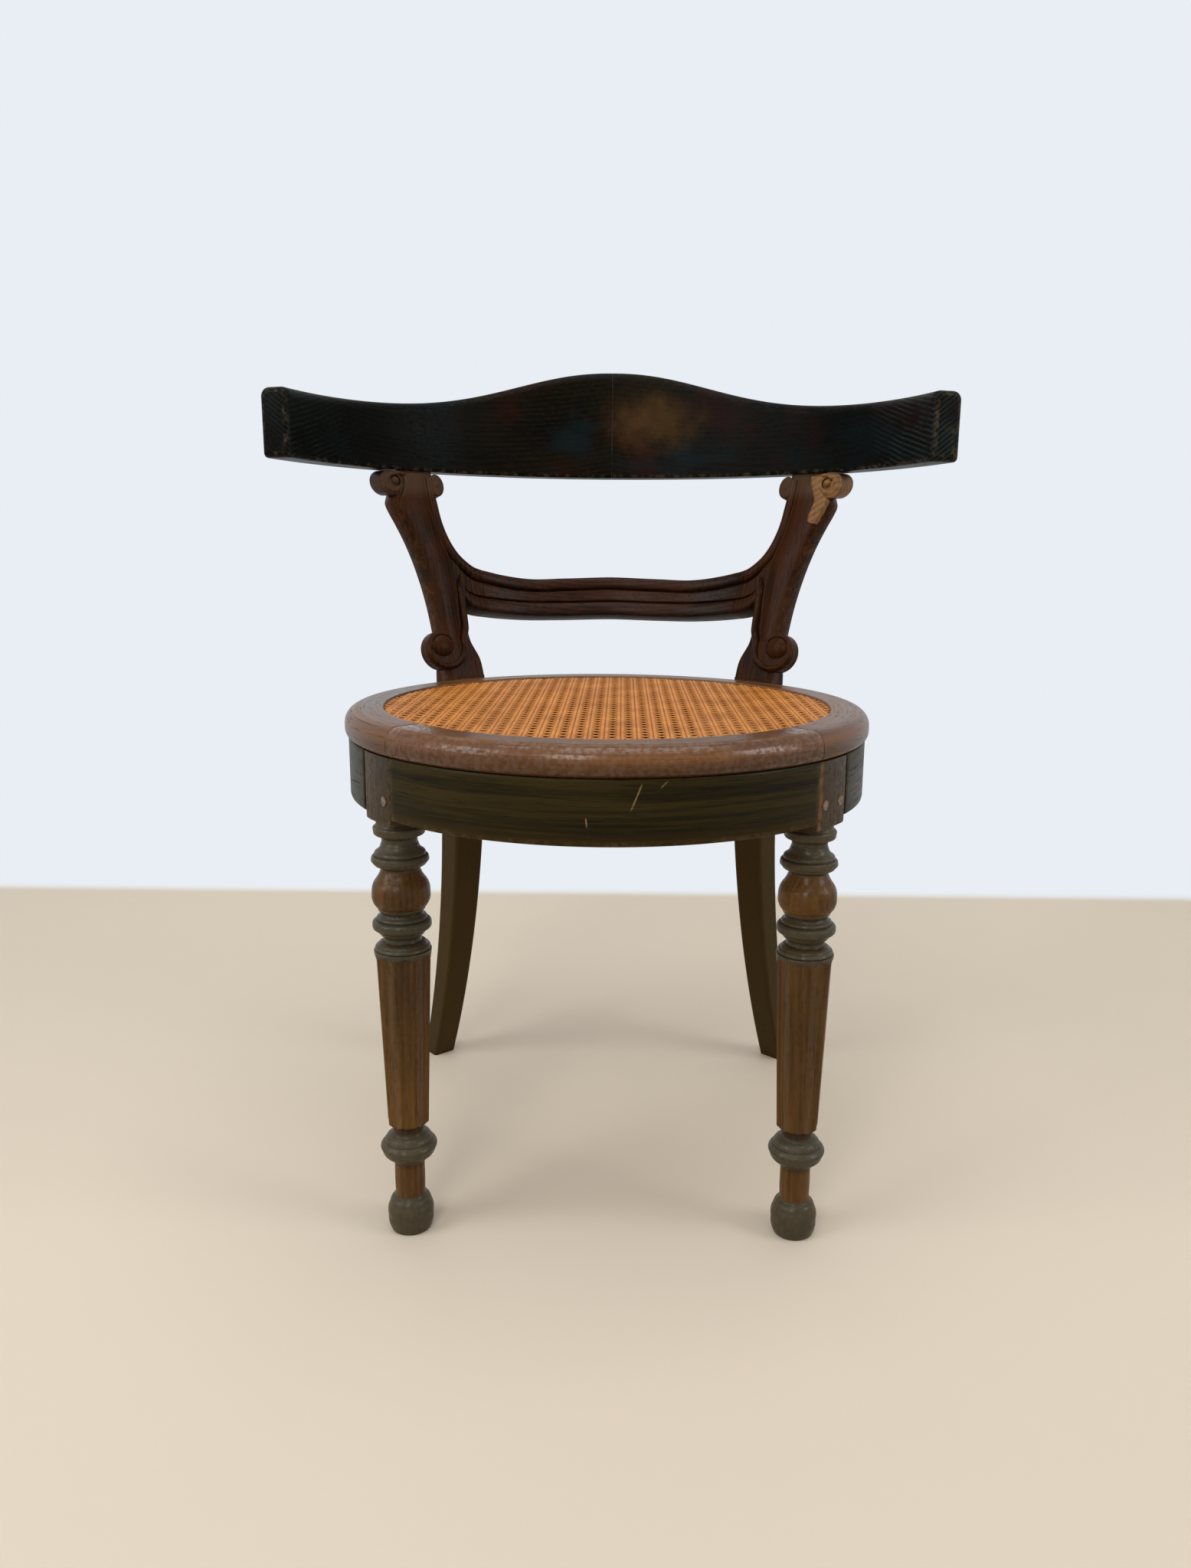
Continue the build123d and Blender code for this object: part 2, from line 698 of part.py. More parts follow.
crest_front = extrude(Plane.XZ * crest_outline(), amount=crest_outer_radius * 2, both=True)
crest_wedge = sector(
    crest_inner_radius - crest_thickness, crest_outer_radius + crest_thickness,
    -crest_thickness, crest_height_centre + crest_thickness, 180 - crest_half_angle, 180,
)
crest_half = crest_blank & crest_front & crest_wedge
crest_long_edges = crest_half.faces().sort_by(Axis.Z)[-1].edges().sort_by(SortBy.LENGTH)[-2:]
crest_half = fillet(crest_long_edges, crest_edge)
crest_half = crest_half - slab(
    -joint_gap, joint_gap / 4, 0, 2 * crest_outer_radius, -crest_thickness, 2 * crest_height_centre
)
crest_place = Pos(0, crest_back, crest_bottom) * Rot(-crest_tilt, 0, 0) * Pos(0, -crest_outer_radius, 0)
crest_rail_right = crest_place * crest_half
crest_tongue_level = crest_bottom + crest_height_centre / 2


def crest_tongue_box(gap):
    """The loose tongue across the crest's centre joint."""
    return Pos(0, crest_back - crest_thickness / 2, crest_tongue_level) * Box(
        crest_tongue_length + 2 * gap, crest_tongue_thickness + 2 * gap, crest_tongue_height + 2 * gap
    )


crest_tongue = crest_tongue_box(0)
crest_mortise = at(rear_leg_azimuth, crest_tenon(joint_gap))
crest_rail_right = crest_rail_right - crest_tongue_box(joint_gap) - crest_mortise

# Corner blocks behind the legs, screwed to the rails and up into the ring
block_top = ring_bottom - joint_gap
block_level = block_top - corner_block_height
front_face_radius = front_leg_radius - front_half - joint_gap
ring_screw_back = sqrt(cane_opening_radius ** 2 - ring_screw_offset ** 2)


def corner_block(azimuth, face_radius):
    """A glue block butted against the leg and shaped to the inner faces of the two rails."""
    back_radius = face_radius - corner_block_depth
    outline = make_face(Polyline(
        (-corner_block_inner / 2, -back_radius),
        (corner_block_inner / 2, -back_radius),
        (corner_block_outer / 2, -rail_inner_radius),
        (-corner_block_outer / 2, -rail_inner_radius),
        close=True,
    ))
    block = extrude(Pos(0, 0, block_level) * outline, amount=corner_block_height)
    block = block & Pos(0, 0, seat_height / 2) * Cylinder(rail_inner_radius - joint_gap, seat_height)
    return at(azimuth, block)


def screw(length, gap):
    """A countersunk wood screw along +Z with its head at the origin, or the hole for it."""
    base = (Align.CENTER, Align.CENTER, Align.MIN)
    head = Cone(screw_head_radius + gap, screw_shank_radius + gap, screw_head_height, align=base)
    return head + Cylinder(screw_shank_radius + gap, length + gap, align=base)


def rail_screws(azimuth, face_radius, gap):
    """Two screws from the flat of a corner block out into the two rails."""
    back_radius = face_radius - corner_block_depth
    level = block_level + corner_block_height / 2
    length = rail_inner_radius - back_radius + rail_screw_bite
    return [
        at(azimuth, Pos(side * rail_screw_offset, -back_radius, level) * Rot(90, 0, 0) * screw(length, gap))
        for side in (-1, 1)
    ]


def ring_screws_at(azimuth, gap):
    """Two screws from under a corner block up into the ring."""
    length = corner_block_height + ring_screw_bite
    return [
        at(azimuth, Pos(side * ring_screw_offset, -ring_screw_back, block_level) * screw(length, gap))
        for side in (-1, 1)
    ]


front_notch = slab(
    -front_half - joint_gap, front_half + joint_gap, -seat_ring_radius, -front_face_radius, 0, seat_height
)
front_corner = corner_block(front_leg_azimuth, front_face_radius) - at(front_leg_azimuth, front_notch)
rear_corner = corner_block(rear_leg_azimuth, rail_inner_radius - joint_gap)
front_screws = rail_screws(front_leg_azimuth, front_face_radius, 0)
rear_screws = rail_screws(rear_leg_azimuth, rail_inner_radius - joint_gap, 0)
lift_screws_front = ring_screws_at(front_leg_azimuth, 0)
lift_screws_rear = ring_screws_at(rear_leg_azimuth, 0)
screws_right = front_screws + rear_screws
lifts_right = lift_screws_front + lift_screws_rear
screw_holes = rail_screws(front_leg_azimuth, front_face_radius, joint_gap)
screw_holes = screw_holes + rail_screws(rear_leg_azimuth, rail_inner_radius - joint_gap, joint_gap)
screw_holes = screw_holes + ring_screws_at(front_leg_azimuth, joint_gap)
screw_holes = screw_holes + ring_screws_at(rear_leg_azimuth, joint_gap)
both_sides = screw_holes + [mirrored(hole) for hole in screw_holes]


def drilled(shape, holes):
    """A piece with every hole that reaches it."""
    for hole in holes:
        if hole.bounding_box().overlaps(shape.bounding_box()):
            shape = shape - hole
    return shape


# Pegs through the front leg blocks: two on the right, one on the left
peg_level = rail_bottom + peg_rise
peg_offset = front_half - peg_inset
peg_start = sqrt(rail_outer_radius ** 2 - peg_offset ** 2) + peg_proud


def peg(azimuth, offset, gap):
    """A round peg driven from the outside of a leg block through a tenon."""
    stick = Cylinder(peg_radius + gap, peg_length + gap, align=(Align.CENTER, Align.CENTER, Align.MIN))
    return at(azimuth, Pos(offset, -peg_start, peg_level) * Rot(-90, 0, 0) * stick)


peg_places = (
    (front_leg_azimuth, -peg_offset),
    (front_leg_azimuth, peg_offset),
    (-front_leg_azimuth, peg_offset),
)
tenon_pegs = [peg(azimuth, offset, 0) for azimuth, offset in peg_places]
peg_holes = [peg(azimuth, offset, joint_gap) for azimuth, offset in peg_places]

front_leg_left = drilled(mirrored(front_leg_right), peg_holes)
front_leg_right = drilled(front_leg_right, peg_holes)
side_rail_left = drilled(mirrored(side_rail_right), both_sides)
side_rail_right = drilled(side_rail_right, both_sides + peg_holes)

nodes = {
    "front_leg_left": front_leg_left,
    "front_leg_right": front_leg_right,
    "rear_leg_left": rear_leg_left,
    "rear_leg_right": rear_leg_right,
    "scroll_repair": scroll_repair,
    "front_rail": drilled(front_rail, both_sides + peg_holes),
    "side_rail_left": side_rail_left,
    "side_rail_right": side_rail_right,
    "rear_rail": drilled(rear_rail, both_sides),
    "seat_ring_front": drilled(seat_ring_front, both_sides),
    "seat_ring_right": drilled(seat_ring_right, both_sides),
    "seat_ring_left": drilled(mirrored(seat_ring_right), both_sides),
    "seat_ring_back": drilled(seat_ring_back, both_sides),
    "ring_tongues": ring_tongues,
    "cane_panel": cane_panel,
    "lower_back_rail": lower_back_rail,
    "crest_rail_right": crest_rail_right,
    "crest_rail_left": mirrored(crest_rail_right),
    "crest_tongue": crest_tongue,
    "corner_block_front_right": drilled(front_corner, screw_holes),
    "corner_block_front_left": mirrored(drilled(front_corner, screw_holes)),
    "corner_block_rear_right": drilled(rear_corner, screw_holes),
    "corner_block_rear_left": mirrored(drilled(rear_corner, screw_holes)),
    "rail_screws": Compound(screws_right + [mirrored(one) for one in screws_right]),
    "ring_screws": Compound(lifts_right + [mirrored(one) for one in lifts_right]),
    "tenon_pegs": Compound(tenon_pegs),
}

# The origin is on the floor, under the middle of the chair's box
whole = Compound(list(nodes.values())).bounding_box()
to_floor = Pos(-whole.center().X, -whole.center().Y, -whole.min.Z)
os.makedirs("parts", exist_ok=True)
for name, shape in nodes.items():
    placed = to_floor * shape
    export_step(placed, "parts/" + name + ".step")
    print(name, len(placed.solids()), round(placed.volume))
print("origin shift", [round(-c, 3) for c in (whole.center().X, whole.center().Y, whole.min.Z)])
print("box", [round(c, 2) for c in whole.size])
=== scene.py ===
import json
from math import cos, radians, sin, tan

import bmesh
import bpy
import numpy as np
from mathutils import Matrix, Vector


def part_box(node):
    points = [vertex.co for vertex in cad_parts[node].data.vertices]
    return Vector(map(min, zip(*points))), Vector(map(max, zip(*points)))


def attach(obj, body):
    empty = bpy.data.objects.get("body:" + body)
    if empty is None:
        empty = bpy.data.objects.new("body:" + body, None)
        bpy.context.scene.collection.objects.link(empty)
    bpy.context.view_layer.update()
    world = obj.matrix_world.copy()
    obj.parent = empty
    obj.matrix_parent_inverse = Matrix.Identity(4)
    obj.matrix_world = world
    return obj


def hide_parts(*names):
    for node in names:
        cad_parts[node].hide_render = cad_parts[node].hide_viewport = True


# A round-seated oak chair with a caned seat. Shapes are worked out in millimetres from the floor
# under the middle of the seat, with Z up, the sitter facing -Y and azimuths counted from the front.
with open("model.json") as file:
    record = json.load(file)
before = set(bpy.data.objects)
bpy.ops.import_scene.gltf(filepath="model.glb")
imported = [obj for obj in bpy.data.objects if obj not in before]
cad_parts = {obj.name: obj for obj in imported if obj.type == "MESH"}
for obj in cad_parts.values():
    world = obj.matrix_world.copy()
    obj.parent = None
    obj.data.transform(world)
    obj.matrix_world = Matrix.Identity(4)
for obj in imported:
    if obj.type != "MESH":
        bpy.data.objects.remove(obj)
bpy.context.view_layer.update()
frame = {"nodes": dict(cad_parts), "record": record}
cane_low, cane_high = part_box("cane_panel")
seat_centre = np.array([(cane_low.x + cane_high.x) / 2, (cane_low.y + cane_high.y) / 2, 0.0])

# Front legs: oak turned on the lathe below a square block, with eight hollow facets carved down
# the tapered shaft. The rails are tenoned and pegged into the block from two sides.


class Field:
    """A node's output in an expression: each operator adds one Math node to the same material."""

    def __init__(self, tree, socket=None):
        self.tree = tree
        self.socket = socket

    def node(self, kind, settings=None, values=None, output=0):
        """Add any node by its type, its settings and the values or links of its sockets."""
        made = self.tree.nodes.new("ShaderNode" + kind)
        for key, value in (settings or {}).items():
            setattr(made, key, value)
        for key, value in (values or {}).items():
            if isinstance(value, Field):
                self.tree.links.new(value.socket, made.inputs[key])
            else:
                made.inputs[key].default_value = value
        return Field(self.tree, made.outputs[output])

    def math(self, operation, first, second):
        """Add a Math node on two values."""
        return self.node("Math", {"operation": operation}, {0: first, 1: second})

    def __add__(self, other):
        return self.math("ADD", self, other)

    def __radd__(self, other):
        return self.math("ADD", other, self)

    def __sub__(self, other):
        return self.math("SUBTRACT", self, other)

    def __rsub__(self, other):
        return self.math("SUBTRACT", other, self)

    def __mul__(self, other):
        return self.math("MULTIPLY", self, other)

    def __rmul__(self, other):
        return self.math("MULTIPLY", other, self)

    def __abs__(self):
        return self.math("ABSOLUTE", self, 0.0)

    def sine(self):
        """The sine of this angle in radians."""
        return self.math("SINE", self, 0.0)

    def axis(self, index):
        """One of these coordinates: 0 for X, 1 for Y and 2 for Z."""
        return self.node("SeparateXYZ", {}, {"Vector": self}, index)

    def step(self, low, high):
        """0 below low, 1 above high and a smooth rise between."""
        return self.node("MapRange", {"interpolation_type": "SMOOTHSTEP"},
                         {"Value": self, "From Min": low, "From Max": high})

    def stretched(self, along, across, deep):
        """These coordinates times a number for each axis."""
        return self.node("VectorMath", {"operation": "MULTIPLY"}, {0: self, 1: (along, across, deep)})

    def noise(self, scale, detail=2.0, rough=0.5):
        """Fractal noise over these coordinates."""
        return self.node("TexNoise", {}, {
            "Vector": self, "Scale": scale, "Detail": detail, "Roughness": rough})

    def blend(self, first, second):
        """The first colour where this is 0 and the second where it is 1."""
        return self.node("Mix", {"data_type": "RGBA"}, {0: self, 6: first, 7: second}, 2)

    def into(self, name):
        """Link to a socket of the material's shader."""
        self.tree.links.new(self.socket, self.tree.nodes["Principled BSDF"].inputs[name])


def plain(name, roughness, coat, coat_roughness, specular=0.5):
    """A new material with even gloss values, and the start of its expressions."""
    material = bpy.data.materials.new(name)
    material.use_nodes = True
    shader = material.node_tree.nodes["Principled BSDF"]
    shader.inputs["Roughness"].default_value = roughness
    shader.inputs["Specular IOR Level"].default_value = specular
    shader.inputs["Coat Weight"].default_value = coat
    shader.inputs["Coat Roughness"].default_value = coat_roughness
    return material, Field(material.node_tree)


def oak(name, turn, dark, light, worn, gloss=0.42, specular=0.2, wear=1.0, contrast=1.0, marks=None,
        shine=0.05):
    """Varnished oak in solid coordinates: the turn in degrees brings the plank's length to X.

    A turn of 1 or -1 lets the grain follow the seat's round instead, measured from the front or the back.
    Growth rings circle an axis beside the plank, fibres and pores are noise drawn out along it. Where
    the mesh's wear is positive, rubbed edges show paler wood; where it is negative, the hollows are
    darkened, painted shade together with soiling. Marks is a function that paints a piece's own stains,
    and on some pieces painted shade and painted sheen, over the colour.
    """
    material, start = plain(name, gloss, coat=shine, coat_roughness=0.16, specular=specular)
    place = start.node("TexCoord", output=3)
    if isinstance(turn, tuple):
        heart_offset = (0.31, 0.043, 0.071)
        plank = start.node("Mapping", {}, {
            "Vector": place, "Location": heart_offset, "Rotation": tuple(radians(angle) for angle in turn)})
    else:
        bend_radius = 0.23
        heart_level = 0.36
        x = place.axis(0)
        y = (seat_centre[1] - place.axis(1)) * turn
        out = x * x + y * y
        along = x.math("ARCTAN2", x, y) * bend_radius
        plank = start.node("CombineXYZ", {}, {
            0: along, 1: out.math("SQRT", out, 0.0), 2: place.axis(2) - heart_level})
    rings = start.node("TexWave", {"wave_type": "RINGS", "rings_direction": "X"}, {
        "Vector": plank.stretched(0.05, 1, 1), "Scale": 62.0, "Distortion": 6.0,
        "Detail": 2.0, "Detail Scale": 0.35})
    fibre = plank.stretched(8, 310, 310).noise(1.0, 4.0, 0.65)
    pores = plank.stretched(38, 820, 820).noise(1.0, 1.0).step(0.60, 0.74)
    cloud = plank.stretched(5, 16, 16).noise(1.0, 3.0)
    tone = (fibre - 0.5) * (1.2 * contrast) + (rings - 0.5) * (0.30 * contrast) + (cloud - 0.5) * 1.1 + 0.5
    bare = tone.step(0.0, 1.0).blend(dark, light)
    pore_dark = tuple(0.3 * c for c in dark[:3]) + (1.0,)
    hollow_shade_colour = tuple(0.35 * c for c in dark[:3]) + (1.0,)
    colour = (pores * 0.5).blend(bare, pore_dark)
    if marks:
        colour = marks(place, colour)
    edge = start.node("Attribute", {"attribute_name": "wear"}, {}, 2)
    rubbed = (edge * place.noise(150.0, 4.0, 0.65).step(0.40, 0.68)).step(0.0, 1.0) * wear
    # Negative wear darkens hollows, grooves and the back rail's foot: painted shade together with soiling.
    hollow_shade_and_soil = (edge * -0.8).step(0.0, 1.0) * 0.8
    rubbed.blend(hollow_shade_and_soil.blend(colour, hollow_shade_colour), worn).into("Base Color")
    (gloss + (fibre - 0.5) * 0.3 + pores * 0.25 + (cloud - 0.5) * 0.25 + hollow_shade_and_soil * 0.3).into("Roughness")
    (place.noise(260.0, 3.0).step(0.38, 0.62) * shine).into("Coat Weight")
    relief = (fibre - pores * 0.9) + cloud * 0.4
    start.node("Bump", {}, {"Strength": 0.4, "Distance": 0.0005, "Height": relief}).into("Normal")
    return material


def turned(points, azimuth):
    """Points drawn at the front of the seat, carried round to an azimuth in degrees."""
    x, y, z = np.moveaxis(points, -1, 0)
    c, s = cos(radians(azimuth)), sin(radians(azimuth))
    return np.stack([x * c - y * s, x * s + y * c, z], -1)


def edges_of(loop):
    """How sharply a closed loop turns: its change of heading over length, eased, 0 on flats, 1 on arrises."""
    ahead = np.roll(loop, -1, 0) - loop
    heading = np.arctan2(ahead[:, 1], ahead[:, 0])
    turn = np.abs((heading - np.roll(heading, 1) + np.pi) % (2 * np.pi) - np.pi)
    sharp = turn / np.maximum(np.linalg.norm(ahead, axis=1), 0.02 * np.ptp(loop))
    eased = np.convolve(np.pad(sharp * np.ptp(loop) / 40, 2, mode="wrap"), np.ones(5) / 5, "valid")
    return np.clip((eased - 0.12) / 0.25, 0, 1)


def rounded(corners, radii, count):
    """A closed loop of evenly spaced points round a polygon whose corners are arcs of the given radii."""
    run = []
    for index, radius in enumerate(radii):
        corner = np.array(corners[index], float)
        before = np.array(corners[index - 1], float) - corner
        after = np.array(corners[(index + 1) % len(corners)], float) - corner
        before = before / np.linalg.norm(before)
        after = after / np.linalg.norm(after)
        half = np.arccos(np.clip(before @ after, -1, 1)) / 2
        reach = radius / np.tan(half)
        centre = corner + (before + after) / np.linalg.norm(before + after) * (radius / np.sin(half))
        first = corner + before * reach - centre
        last = corner + after * reach - centre
        share = np.linspace(0, 1, 9)[:, None]
        spoke = first * (1 - share) + last * share
        run.append(centre + spoke / np.linalg.norm(spoke, axis=1, keepdims=True) * radius)
    line = np.concatenate(run)
    return spaced(np.concatenate([line, line[:1]]), count + 1)[:-1]


def spaced(line, count):
    """The same line with evenly spaced points."""
    length = np.concatenate([[0], np.cumsum(np.linalg.norm(np.diff(line, axis=0), axis=1))])
    even = np.linspace(0, length[-1], count)
    return np.stack([np.interp(even, length, line[:, axis]) for axis in range(line.shape[1])], -1)


def make(name, shells, material, slot, *nodes):
    """Join closed shells into one smooth object that stands for the nodes named.

    A shell is a grid of points in millimetres and the wear at each, negative where hollows get painted
    shade: every row is a closed loop, rows are joined by quads, and the first and last rows are capped.
    """
    points, wear, faces = [], [], []
    start = 0
    for grid, edge in shells:
        rows, places = grid.shape[:2]
        row = np.arange(rows - 1)[:, None] * places
        place = np.arange(places)[None, :]
        after = (place + 1) % places
        quads = np.stack([row + place, row + after, row + after + places, row + place + places], -1)
        faces += (quads.reshape(-1, 4) + start).tolist()
        faces.append((start + np.arange(places)[::-1]).tolist())
        faces.append((start + (rows - 1) * places + np.arange(places)).tolist())
        points.append(grid.reshape(-1, 3))
        wear.append(np.broadcast_to(edge, (rows, places)).reshape(-1))
        start += rows * places
    mesh = bpy.data.meshes.new(name)
    mesh.from_pydata((np.concatenate(points) * 0.001 + seat_centre).tolist(), [], faces)
    # The wear attribute: positive on rubbed edges, negative where painted shade darkens the hollows.
    worn = mesh.attributes.new("wear", "FLOAT", "POINT")
    worn.data.foreach_set("value", np.concatenate(wear).astype(np.float32))
    solid = bmesh.new()
    solid.from_mesh(mesh)
    bmesh.ops.recalc_face_normals(solid, faces=solid.faces[:])
    solid.to_mesh(mesh)
    solid.free()
    mesh.shade_smooth()
    mesh.set_sharp_from_angle(angle=radians(42))
    mesh.materials.append(material)
    piece = bpy.data.objects.new(name, mesh)
    bpy.context.scene.collection.objects.link(piece)
    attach(piece, "root")
    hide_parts(*nodes)


def mirrored(shells):
    """The same shells for the other side of the chair."""
    return [(grid * np.array([-1.0, 1.0, 1.0]), edge) for grid, edge in shells]


rail_outer = 236.0
leg_azimuth = 52.75
leg_radius = 216.0
block_half = 24.0
block_bottom = 377.0
facets = 8
facet_hollow = 0.9
facet_arch = 8.5
shaft_low = 102.0
shaft_high = 263.2
shaft_neck = 13.6


def lathe(stretches):
    """Heights and radii up a turning: each stretch goes to (height, radius) and arches out by its bulge."""
    tip = np.array(stretches[0][:2])
    run = [tip[None, :]]
    for height, radius, bulge in stretches[1:]:
        span = np.array([height, radius]) - tip
        share = np.linspace(0, 1, 11)[1:, None]
        across = np.array([-span[1], span[0]]) / np.linalg.norm(span)
        run.append(tip + span * share + across * (bulge * 4) * share * (1 - share))
        tip = tip + span
    return np.concatenate(run)


foot_and_collar = [
    (0, 16.4, 0), (1.4, 17.8, 0.4), (14, 19.9, 1.0), (26, 18.2, 1.2), (32, 14.2, 1.0), (34.5, 13.0, -0.2),
    (66, 13.0, 0.3), (67.2, 14.8, -0.3), (69.5, 16.6, 0.5), (70.2, 17.0, -0.2), (78, 23.6, 1.5),
    (84.5, 23.0, 1.4), (86.0, 21.4, 0.1), (86.6, 20.9, -0.15), (92.5, 16.0, 0.9), (94.5, 14.0, -0.3),
    (shaft_low - 0.5, 13.4, 0)]
shaft = [
    (shaft_low, 18.0, 0.1), (shaft_low + 0.8, 18.7, 0.2), (shaft_low + 10, 19.0, 0),
    (shaft_high - 13, 24.0, 0), (shaft_high - 6, 24.3, 0), (shaft_high, 24.4, 0)]
shoulder_and_bead = [
    (264.4, 24.1, 0.3), (265.0, 23.0, -0.2), (266.8, 23.3, 0.5), (268.4, 21.6, 0.4), (271.6, 17.4, 0.6),
    (272.8, 16.2, -0.2), (276.4, 15.9, -0.2), (280.8, 20.4, 0.6), (282.6, 22.6, -0.2), (287, 24.9, 1.0),
    (290.8, 22.9, 0.9), (291.6, 21.2, -0.2), (294.3, 20.4, 0.5), (298.2, 17.4, -0.6)]
vase_and_plinth = [
    (302, 20.4, 0.7), (315, 24.6, 1.7), (327, 20.9, 1.2), (334, 17.0, -0.3), (337.4, 16.5, -0.3),
    (338.2, 18.2, 0), (341.5, 22.9, 0.9), (345, 24.1, 0.8), (347.4, 22.9, 0.4), (348.2, 21.6, -0.2),
    (351.5, 20.2, 0.6), (357.5, 15.9, -0.9), (360, 15.1, -0.2), (363.5, 15.6, -0.3), (365, 18.6, 0),
    (369.3, 21.6, 1.3), (373.5, 20.0, 1.2), (block_bottom + 0.5, 18.4, 0)]
profile = lathe(foot_and_collar + shaft + shoulder_and_bead + vase_and_plinth)


def rims_of(line):
    """1 where a lathe profile bulges sharply, -1 where it is sharply hollow: its turn per millimetre."""
    step = np.gradient(line, axis=0)
    heading = np.unwrap(np.arctan2(step[:, 1], step[:, 0]))
    bend = -np.gradient(heading) / np.maximum(np.linalg.norm(step, axis=1), 0.15)
    eased = np.convolve(np.pad(bend, 2, mode="edge"), np.ones(5) / 5, "valid")
    return np.clip((eased - 0.25) / 0.5, 0, 1) - np.clip((-eased - 0.15) / 0.4, 0, 1)


def turned_shaft():
    """The turning. Its radius follows the lathe profile; on the shaft it drops from the round to flats
    (radius times cos(half facet) / cos(angle in facet)) hollowed by a cosine, below an arch at the head,
    and each corner ends higher than its flats at the foot."""
    half = np.pi / facets
    angle = np.linspace(0, 2 * np.pi, 128, endpoint=False)[None, :] + half
    height, radius = profile[:, :1], profile[:, 1:]
    in_facet = (angle % (2 * half)) - half
    share = np.abs(in_facet) / half
    arch = shaft_high - 1.5 - facet_arch * (1 - np.sqrt(1 - share ** 2))
    carved = np.clip((arch - height) / 1.4, 0, 1) * np.clip(height - shaft_low + 1, 0, 1)
    flat = radius * np.cos(half) / np.cos(in_facet) - facet_hollow * np.cos(share * np.pi / 2) ** 2
    around = radius * (1 - carved) + flat * carved
    lobe = shaft_low - 0.5 + 1.8 * share ** 3
    tucked = np.clip(lobe + 1.0 - height, 0, 1) * (height > shaft_low - 1)
    around = around * (1 - tucked) + np.minimum(around, shaft_neck) * tucked
    # Sharp hollows of the turning get negative wear, so that painted shade darkens them.
    rims = rims_of(profile)[:, None] * (1 - carved)
    arris = np.clip((share - 0.88) / 0.12, 0, 1) * carved * 0.6
    grid = np.stack([around * np.sin(angle), -leg_radius - around * np.cos(angle), height + 0 * angle], -1)
    return turned(grid, leg_azimuth), rims + arris


def leg_block():
    """The square block: a loop with the rails' round as its front, drawn in a little at both ends."""
    face = np.linspace(-block_half, block_half, 5)
    front = np.stack([face, -np.sqrt((rail_outer - 0.2) ** 2 - face ** 2)], -1)
    back = -leg_radius + block_half
    loop = rounded([*front, (block_half, back), (-block_half, back)], [2.5, 60, 60, 60, 2.5, 2, 2], 96)
    middle = loop.mean(0)
    shrink = np.array([0.93, 0.985, 1, 1, 1, 1, 0.995])[:, None, None]
    level = np.array([0, 0.6, 2.0, 18, 36, 57, 57.8])[:, None, None] + block_bottom
    outline = middle + (loop - middle) * shrink
    grid = np.concatenate([outline, np.broadcast_to(level, outline.shape[:2] + (1,))], -1)
    return turned(grid, leg_azimuth), edges_of(loop)[None, :] * 0.7


def leg_marks(place, colour):
    """Old varnish on the collars and other turned bands, a dark band at the neck below the shaft that is
    painted shade with soiling, the block darkened as painted shade under the ring, and a strip worn bare.

    The bands go by height, and the strip, beside the right joint, by X.
    """
    faded = (0.050, 0.051, 0.033, 1)
    # Painted shade with soiling: the dark band in the neck below the shaft.
    shade_and_soil = (0.012, 0.007, 0.003, 1)
    # Painted shade: the block's darker brown stands for the shade under the ring.
    block_shade = (0.0160, 0.0105, 0.0026, 1)
    bare = (0.17, 0.075, 0.016, 1)
    x = place.axis(0)
    z = place.axis(2)
    for low, top, stain in ((0.273, 0.300, faded), (0.337, 0.374, faded), (0.262, 0.269, faded),
                            (0.069, 0.0945, faded), (-0.01, 0.033, faded), (0.097, 0.1015, shade_and_soil)):
        band = z.step(low - 0.003, low) * (1 - z.step(top, top + 0.003))
        colour = (band * 0.72).blend(colour, stain)
    on_block = z.step(0.374, 0.379)
    # The block darkened as painted shade from the ring above it.
    colour = (on_block * 0.8).blend(colour, block_shade)
    strip = x.step(0.1715, 0.1735) * (1 - x.step(0.1755, 0.1775)) * place.noise(90.0, 3.0).step(0.35, 0.6)
    return (strip * on_block * 0.8).blend(colour, bare)


leg_colours = (0.030, 0.0135, 0.0025, 1), (0.150, 0.066, 0.013, 1), (0.20, 0.105, 0.035, 1)
leg_oak = oak("turned oak", (0, 90, 0), *leg_colours, gloss=0.38, specular=0.12, wear=0.5,
              contrast=0.45, marks=leg_marks, shine=0.2)
leg_right = [turned_shaft(), leg_block()]
make("turned_leg_right", leg_right, leg_oak, "leg_oak", "front_leg_right")
make("turned_leg_left", mirrored(leg_right), leg_oak, "leg_oak", "front_leg_left")

# Rails: four curved arcs sawn from oak planks, flush with the leg blocks and set a little inside the
# seat's edge. Tenons hold them in the blocks; the ring is screwed down over them.
rail_inner = 214.0
rail_bottom = 383.0
ring_bottom = 435.0
rear_azimuth = 139.0
rear_half = 21.5
joint_bevel = 0.5


def arc_bar(loop, worn, first, last, rows):
    """A section of radii and heights carried round the seat between two azimuths.

    The end rows shrink towards the section's middle by the bevel, so that a butt joint shows as a line,
    and worn is the wear at each point of the section.
    """
    turn = np.linspace(first, last, rows)
    sides = np.concatenate([[first], turn, [last]])
    sides[1] += 0.15
    sides[-2] -= 0.15
    middle = loop.mean(0)
    shrink = np.ones(rows + 2)
    shrink[[0, -1]] = 1 - joint_bevel / 20.0
    section = middle + (loop - middle) * shrink[:, None, None]
    angle = np.radians(sides)[:, None]
    radius, height = section[..., 0], section[..., 1]
    return np.stack([radius * np.sin(angle), -radius * np.cos(angle), height], -1), worn[None, :]


def beside(azimuth, half_width, side):
    """The azimuth where a rail meets a leg block: off by the arcsine of half its width over the radius."""
    return azimuth + side * np.degrees(np.arcsin((half_width + 0.2) / rail_outer))


rail_top = ring_bottom - 0.1
rail_loop = rounded([(rail_inner, rail_bottom), (rail_outer, rail_bottom), (rail_outer, rail_top),
                     (rail_inner, rail_top)], [1.5, 1.8, 0.6, 0.6], 90)
rail_wear = edges_of(rail_loop) * (rail_loop[:, 1] < ring_bottom - 20)
rail_colours = (0.006, 0.005, 0.0012, 1), (0.032, 0.021, 0.004, 1), (0.12, 0.075, 0.025, 1)


